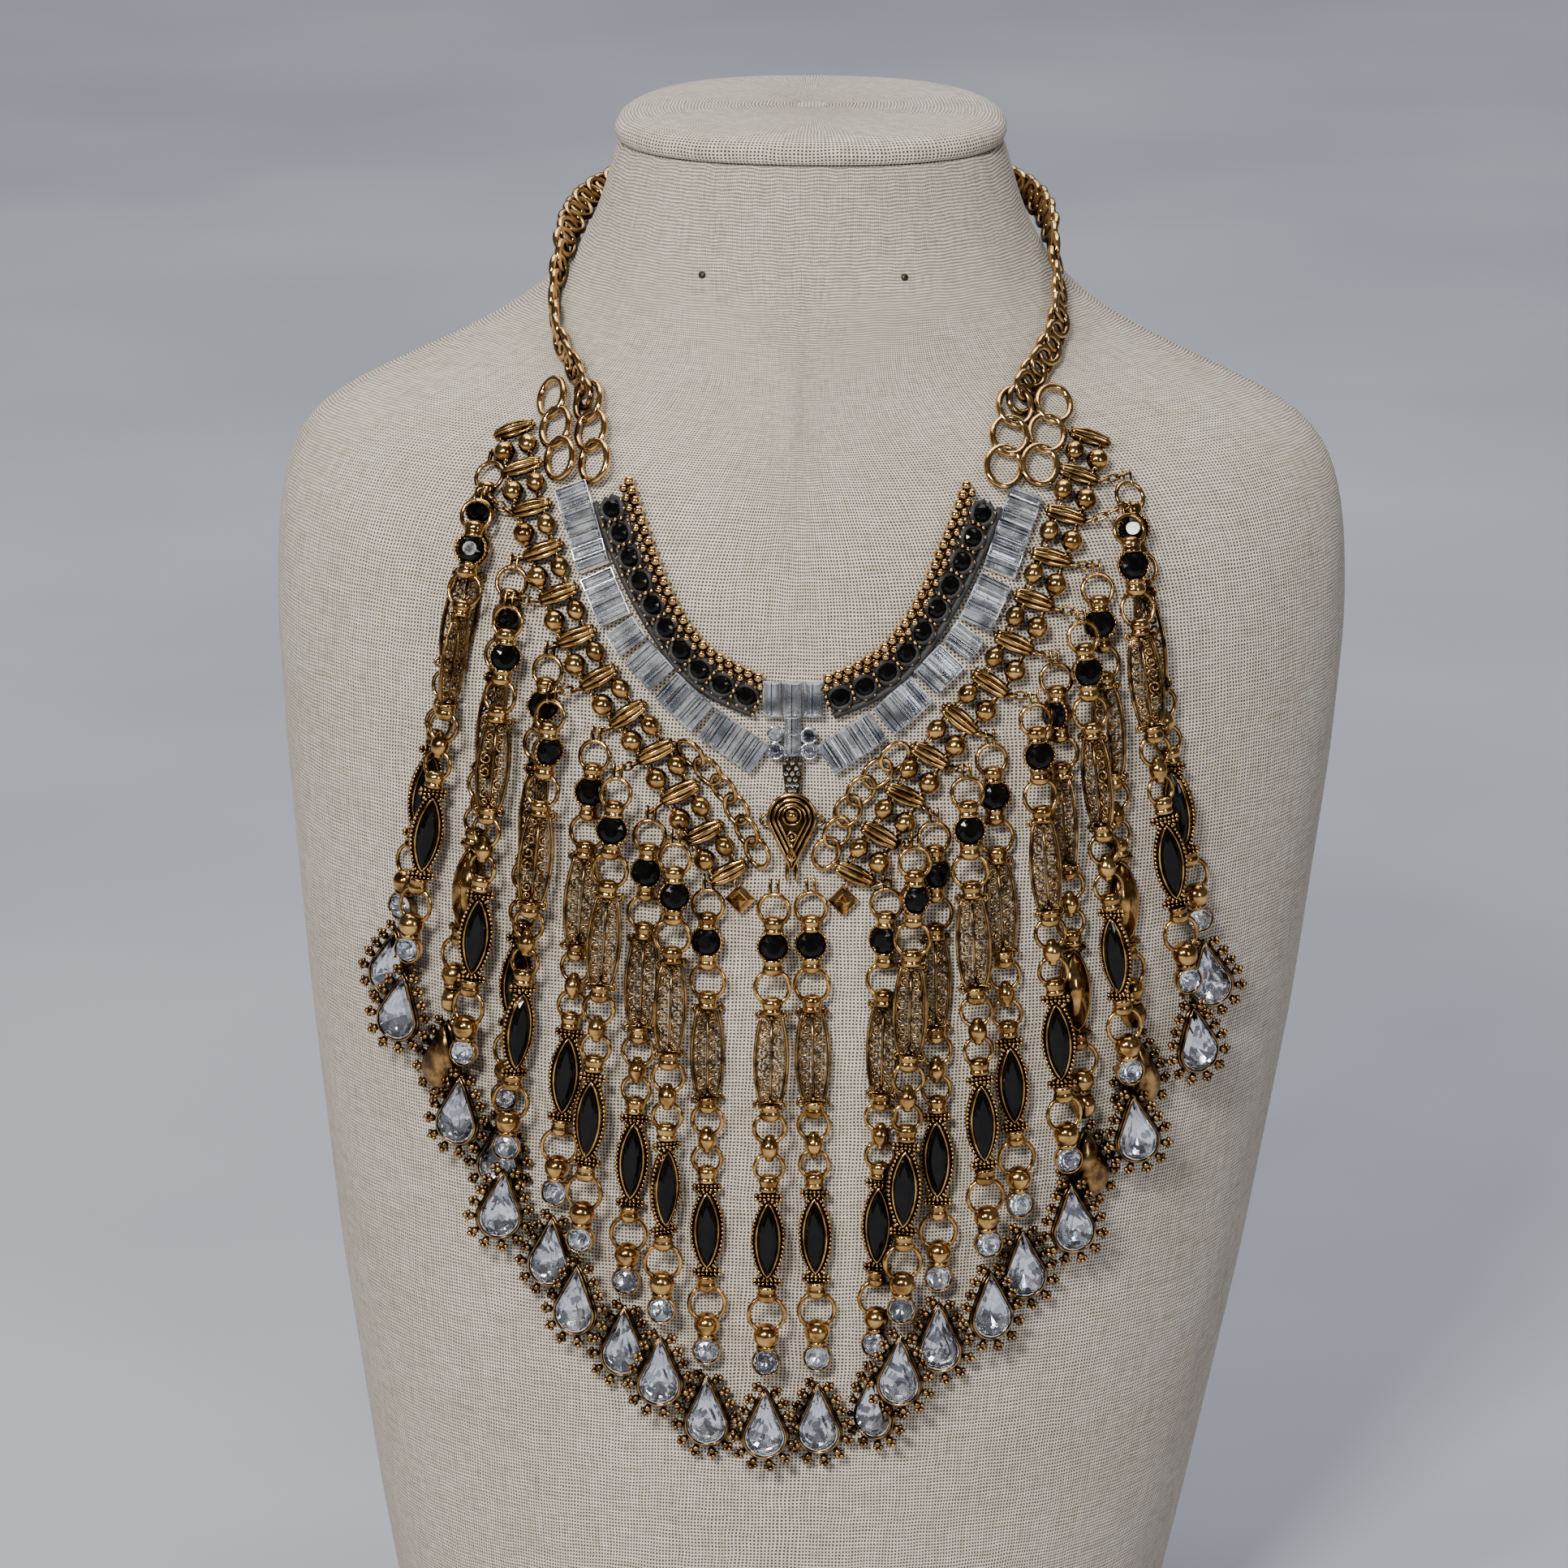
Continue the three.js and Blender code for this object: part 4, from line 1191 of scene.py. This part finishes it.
def add_braid(name, side, node):
    """Black stones with cord wound round them and gold balls in the gaps."""
    route = front_route(BRAID_ROUTE, side, COLLAR_LIFT)
    pitch = route.length / BRAID_STONES
    stones = Piece(f"{name}_stones")
    cord = Piece(f"{name}_cord")
    balls = Piece(f"{name}_balls")
    cut = layered((
        (circle(1.85, 12), 0.2), (circle(1.85, 12), 0.7), (circle(1.45, 12, 0.26), 1.4),
        (circle(0.85, 12), 1.7),
    ))
    grain = ball(0.52, 8, 6)
    for number in range(BRAID_STONES):
        middle = route.frame((number + 0.5) * pitch)
        stones.add(cut, middle, smooth=False)
        for x, y, z in ((-2.3, 0.9, 0.3), (-2.3, -0.9, 0.3), (2.2, 0.9, 0.3), (2.2, -0.9, 0.3)):
            balls.add(grain, middle @ moved(x, y, z))
        gap = route.frame((number + 1) * pitch)
        for x, y, z in ((0, 0, 0.9), (-1.15, 0.1, 0.6), (1.15, -0.1, 0.6), (-2.7, 0, 0.5)):
            balls.add(grain, gap @ moved(x, y, z))
    for way in (-1, 1):
        line = []
        for s in np.linspace(0, route.length, 120):
            wave = math.pi * s / pitch + math.pi / 2
            swing = 1.75 * abs(math.sin(wave - math.pi / 2)) + 0.3
            height = -0.1 + 0.5 * math.cos(2 * wave)
            line.append(carried(route.frame(s), way * swing, 0, height))
        cord.add(tube(line, 0.72, 7, normal=(0, -1, 0)), np.eye(4))
    outer = [
        carried(route.frame(s), side * 2.9, 0, -0.5)
        for s in np.linspace(0, route.length, 60)
    ]
    cord.add(tube(outer, 0.75, 7, normal=(0, -1, 0)), np.eye(4))
    stones.finish("black", node)
    cord.finish("ribbon")
    balls.finish("bright")


def baguette_parts(width, length):
    """Crown and mirrored trough of a step-cut stone whose length lies along X, and black lines of painted
    facet reflection.
    """
    half = np.array(((length / 2, -width / 2), (length / 2, width / 2),
                     (-length / 2, width / 2), (-length / 2, -width / 2)))
    crown = layered((
        (half * 0.93, 0.52), (half * 0.93, 0.62), (half * (0.9, 0.74), 0.95), (half * (0.84, 0.42), 1.15),
    ))
    foil = layered((
        (half * 0.96, -1.25), (half, 0.5), (half * (0.96, 0.9), 0.5), (half * (0.9, 0.62), -0.1),
        (half * (0.84, 0.3), -0.35), (half * (0.8, 0.04), -0.8),
    ))
    # Thin black wires inside the crown along the stone: painted reflection, standing for the dark lines that
    # the step facets reflect.
    lines = [
        tube(((-length * 0.45, y * width, 0.5), (length * 0.45, y * width, 0.5)), 0.085, 4)
        for y in (-0.44, -0.2, 0.06, 0.3)
    ]
    return crown, foil, lines


def add_baguettes(side_name, side):
    route = front_route(BAGUETTE_ROUTE, side, COLLAR_LIFT + 0.2)
    crown, foil, lines = baguette_parts(BAGUETTE["width"], BAGUETTE["length"])
    for group, count in enumerate(BAGUETTE_GROUPS, start=1):
        node = f"baguettes_{side_name}_{group}"
        middle = box_middle(node)
        nearest = np.argmin(np.linalg.norm(route.points - middle, axis=1))
        base = route.frame(float(route.distance[nearest]))
        base[0, 3] = middle[0]
        base[2, 3] = middle[2]
        base[1, 3] = on_front(middle[0], middle[2], COLLAR_LIFT + 0.4)[1]
        glass = Piece(f"{node}_glass")
        mirror = Piece(f"{node}_mirror")
        shade = Piece(f"{node}_lines")
        for number in range(count):
            matrix = base @ moved(0, (number + 0.5 - count / 2) * BAGUETTE["pitch"], 0)
            matrix = matrix @ turned("X", random.uniform(-6, 6)) @ turned("Y", random.uniform(-3, 3))
            glass.add(crown, matrix, smooth=False)
            mirror.add(foil, matrix, smooth=False)
            # Two of the black lines on each stone, a painted dark facet reflection.
            for line in random.sample(lines, 2):
                shade.add(line, matrix)
        glass.finish("glass", node)
        mirror.finish("mirror")
        shade.finish("black")


def ladder_bar():
    """Three ridges side by side, drawn together at the ends."""
    shapes = []
    for ridge in (-1, 0, 1):
        line = []
        radii = []
        for step in range(11):
            x = -3.9 + 7.8 * step / 10
            swell = 0.45 + 0.55 * math.cos(math.pi * x / 9.0)
            line.append((x, ridge * 1.15 * swell, 0.25 * swell + (0.4 if ridge == 0 else 0)))
            radii.append(0.3 + 0.42 * swell)
        shapes.append(tube(line, radii, 8))
    for end in (-1, 1):
        shapes.append(ball_at(end * 3.9, 0, 0.1, 0.62))
    return shapes


def add_ladder(name, side, node):
    route = front_route(LADDER_ROUTE, side, COLLAR_LIFT)
    pitch = route.length / (LADDER_BARS - 1)
    piece = Piece(name)
    bar = ladder_bar()
    big = ball(2.2, 16, 12)
    small = ball(1.9, 14, 10)
    eye = oval_ring(0.7, 0.95, 0.26, 12, 5)
    for number in range(LADDER_BARS):
        matrix = route.frame(number * pitch) @ turned("Z", side * random.uniform(2, 9))
        for shape in bar:
            piece.add(shape, matrix)
    for number in range(LADDER_BARS - 1):
        matrix = route.frame((number + 0.5) * pitch)
        reach = pitch / 2 - 1.6
        outer = matrix @ moved(side * 2.7, 0, 0.3)
        inner = matrix @ moved(side * -2.1, 0.2, 0.1)
        piece.add(big, outer)
        piece.add(small, inner @ sized(1, 1.15, 1))
        for way in (-1, 1):
            piece.add(eye, outer @ moved(0, way * (reach - 0.1), -0.2) @ turned("Y", 60))
            piece.add(eye, inner @ moved(0, way * (reach - 0.3), -0.1) @ turned("Y", -50))
            piece.add(ball_at(0, way * 1.95, 0, 0.75), outer)
            piece.add(ball_at(0, way * 1.85, 0, 0.6), inner)
    piece.finish("antique", node)
    return route, pitch


def add_hangers(side_name, side, route, pitch):
    """The small jump links from the outer end of each bar to the strand that hangs on it."""
    hangers = Piece(f"jump_links_{side_name}")
    for number in range(1, LADDER_BARS):
        bar = route.frame(number * pitch)
        start = carried(bar, side * 3.9, 0, 0.2)
        node = f"strand_{side_name}_{number:02d}"
        lift = FAR_LIFT if number % 2 == 0 else NEAR_LIFT
        (x, z), _ = strand_ends(node)
        end = on_front(x, z + 1.2, lift)
        count = max(1, round(np.linalg.norm(end - start) / 2.1))
        line = Route(np.linspace(start, end, 2 * count + 1), front_outward)
        for link in range(count):
            spin = 75 if link % 2 == 0 else 10
            shape = oval_ring(0.75, line.length / count / 2 + 0.35, 0.26, 14, 5)
            hangers.add(shape, line.frame((link + 0.5) * line.length / count) @ turned("Y", spin))
    hangers.finish("antique")


def centre_frame(node, x):
    """The frame at a node's height and x, on the collar."""
    return front_frame(x, box_middle(node)[2], COLLAR_LIFT, 2.0)


def add_cluster():
    middle = centre_frame("crystal_cluster", 0.0)
    metal = Piece("crystal_cluster_tray")
    glass = Piece("crystal_cluster_glass")
    foil = Piece("crystal_cluster_foil")
    mirror = Piece("crystal_cluster_mirror")
    shade = Piece("crystal_cluster_lines")
    stones = (
        (-3.95, 3.6, 3.7, 6.9), (0, 3.6, 3.7, 6.9), (3.95, 3.6, 3.7, 6.9),
        (0, -1.5, 3.2, 3.2), (0, -5.2, 3.3, 4.4),
    )
    for x, y, width, length in stones:
        crown, back, lines = baguette_parts(width, length)
        matrix = middle @ moved(x, y, 0.3) @ turned("Z", 90)
        glass.add(crown, matrix, smooth=False)
        mirror.add(back, matrix, smooth=False)
        # Every other black line on each stone, a painted dark facet reflection.
        for line in lines[::2]:
            shade.add(line, matrix)
    flat = sized(1, 1, 0.75)
    for x, y in ((-3.3, -3.2), (3.1, -3.4), (-3.3, -6.4), (3.1, -6.4)):
        matrix = middle @ moved(x, y, 0.2)
        metal.add(transformed(chaton_cup(1.3), flat), matrix)
        glass.add(transformed(chaton_crown(1.28), flat), matrix, smooth=False)
        foil.add(transformed(chaton_foil(1.28), flat), matrix, smooth=False)
    metal.finish("foil")
    mirror.finish("mirror")
    shade.finish("black")
    glass.finish("glass", "crystal_cluster")
    foil.finish("foil")


def add_taper():
    """A narrow gold wedge set all over with tiny stones."""
    matrix = centre_frame("pave_taper", 0.0)
    metal = Piece("pave_taper_metal")
    stones = Piece("pave_taper_stones")
    outline = ((-1.35, -3.2), (1.35, -3.2), (2.1, 3.2), (-2.1, 3.2))
    metal.add(prism(outline, -1.0, 0.5), matrix, smooth=False)
    tiny = layered(((circle(0.46, 8), 0.45), (circle(0.42, 8), 0.75), (circle(0.2, 8), 0.9)))
    for row in range(6):
        y = 2.7 - row * 1.08
        half = 1.5 - row * 0.15
        count = 3 if row % 2 == 0 else 2
        for number in range(count):
            x = half * (2 * number / (count - 1) - 1) * (1 if count == 3 else 0.55)
            stones.add(tiny, matrix @ moved(x, y, 0), smooth=False)
            metal.add(ball(0.2, 6, 4), matrix @ moved(x + 0.5, y + 0.5, 0.55))
    metal.finish("antique", "pave_taper")
    stones.finish("foil")


def add_medallion():
    """Round above and pointed below, with raised ridges one inside the other."""
    matrix = centre_frame("medallion", 0.0) @ turned("Z", 180)
    piece = Piece("medallion_metal")
    outline = pear_outline(4.75, 15.4, 40)
    piece.add(prism(outline, -1.4, 0.1, 0.97, 1.0), matrix, smooth=False)
    for inset, height, wire in ((0.3, 0.3, 0.42), (1.25, 0.75, 0.36), (2.1, 0.95, 0.3)):
        piece.add(rim(outline, -inset, height, wire, 8), matrix)
    piece.add(prism(np.array(outline) * 0.62 - (0, 0.6), 0.1, 0.8, 1.0, 0.85), matrix, smooth=False)
    piece.add(ball(1.35, 16, 10), matrix @ moved(0, -3.4, 1.1))
    piece.add(oval_ring(1.75, 1.75, 0.26, 20, 6), matrix @ moved(0, -3.4, 1.1))
    piece.add(oval_ring(0.8, 0.8, 0.24, 14, 6), matrix @ moved(0, 0.6, 1.2))
    piece.add(lathe(((0.55, 0), (0.4, 0.5), (0, 1.2)), 10), matrix @ moved(0, 0.6, 1.0))
    piece.add(tube(((0, 1.6, 1.1), (0, 3.4, 0.9), (0, 5.6, 0.5)), (0.4, 0.3, 0.15), 6), matrix)
    for side in (-1, 1):
        piece.add(oval_ring(0.9, 0.9, 0.32, 14, 6), matrix @ moved(side * 5.2, -2.4, 0))
        piece.add(oval_ring(0.35, 1.8, 0.24, 14, 5), matrix @ moved(side * 0.9, 7.6, 0) @ turned("Y", 60))
    piece.finish("antique", "medallion")


def add_stud(name, side, node):
    matrix = centre_frame(node, box_middle(node)[0])
    stud = Piece(name)
    square = np.array(((3.1, 0), (0, 3.1), (-3.1, 0), (0, -3.1)))
    stud.add(layered((
        (square * 0.9, -0.9), (square, -0.5), (square * 0.92, -0.2), (square * 0.5, 0.5),
        (square * 0.42, 0.9), (square * 0.08, 1.9),
    )), matrix, smooth=False)
    stud.add(oval_ring(0.7, 0.9, 0.26, 12, 5), matrix @ moved(side * 0.6, 3.2, 0) @ turned("Y", 40))
    stud.finish("bright", node)


# ---------------------------------------------------------------- scene

def add_floor():
    """A wide level floor, which fills the frame from every side."""
    reach = 6.0
    points = [(-reach, -reach, 0), (reach, -reach, 0), (reach, reach, 0), (-reach, reach, 0)]
    mesh = bpy.data.meshes.new("floor")
    mesh.from_pydata(points, [], [(0, 1, 2, 3)])
    linked("floor", mesh, "floor")


def make_materials():
    MATERIALS.update({
        "antique": gold("antique_gold", (0.88, 0.53, 0.175), (0.27, 0.125, 0.035), 0.12, 0.0045),
        "bright": gold("bright_rose_gold", (0.97, 0.62, 0.25), (0.60, 0.32, 0.11), 0.11, 0.0035),
        # plate: a darker copy of the antique gold for the filigree plates and drop frames, painted shade for
        # their shadowed openwork.
        "plate": gold("shade_darkened_antique_gold", (0.62, 0.36, 0.13), (0.13, 0.065, 0.022), 0.17, 0.004),
        "black": black_stone(),
        "ribbon": ribbon(),
        "glass": crystal_glass(),
        "foil": crystal_foil(),
        "mirror": crystal_mirror(),
        "linen": linen(),
        "floor": floor_cloth(),
        "pin": pin_metal(),
    })


def add_half(side_name, side):
    """One half of the collar, and the strands of the fringe that hang on it."""
    add_chain(f"neck_links_{side_name}", neck_route(side), NECK_LINK, side,
              "bright", f"neck_chain_{side_name}")
    for place, places in (("inner", INNER_LINKS_ROUTE), ("outer", OUTER_LINKS_ROUTE)):
        add_chain(f"column_links_{side_name}_{place}", front_route(places, side, COLLAR_LIFT + 0.4),
                  COLUMN_LINK, side, "bright", f"curb_links_{side_name}_{place}")
    add_edge(f"ball_edge_{side_name}", side, f"edge_chain_{side_name}")
    add_braid(f"braid_{side_name}", side, f"stone_braid_{side_name}")
    add_baguettes(side_name, side)
    route, pitch = add_ladder(f"ladder_metal_{side_name}", side, f"ladder_{side_name}")
    add_hangers(side_name, side, route, pitch)
    add_chain(f"lace_links_{side_name}", front_route(LACE_ROUTE, side, COLLAR_LIFT + 0.2),
              LACE_LINK, side, "antique", f"lace_chain_{side_name}")
    add_stud(f"pyramid_{side_name}", side, f"stud_{side_name}")
    for number in range(1, STRANDS + 1):
        # Neighbours lie near and far in turn. The last one on the right is near, as the
        # last one on the left beside it is far.
        far = number % 2 == 0 and not (side > 0 and number == STRANDS)
        add_strand(f"strand_{side_name}_{number:02d}", FAR_LIFT if far else NEAR_LIFT)


def build():
    add_camera()
    add_studio()
    make_materials()
    add_floor()
    add_bust()
    add_cap()
    add_pins()
    add_clasp()
    add_cluster()
    add_taper()
    add_medallion()
    add_half("left", -1)
    add_half("right", 1)


build()
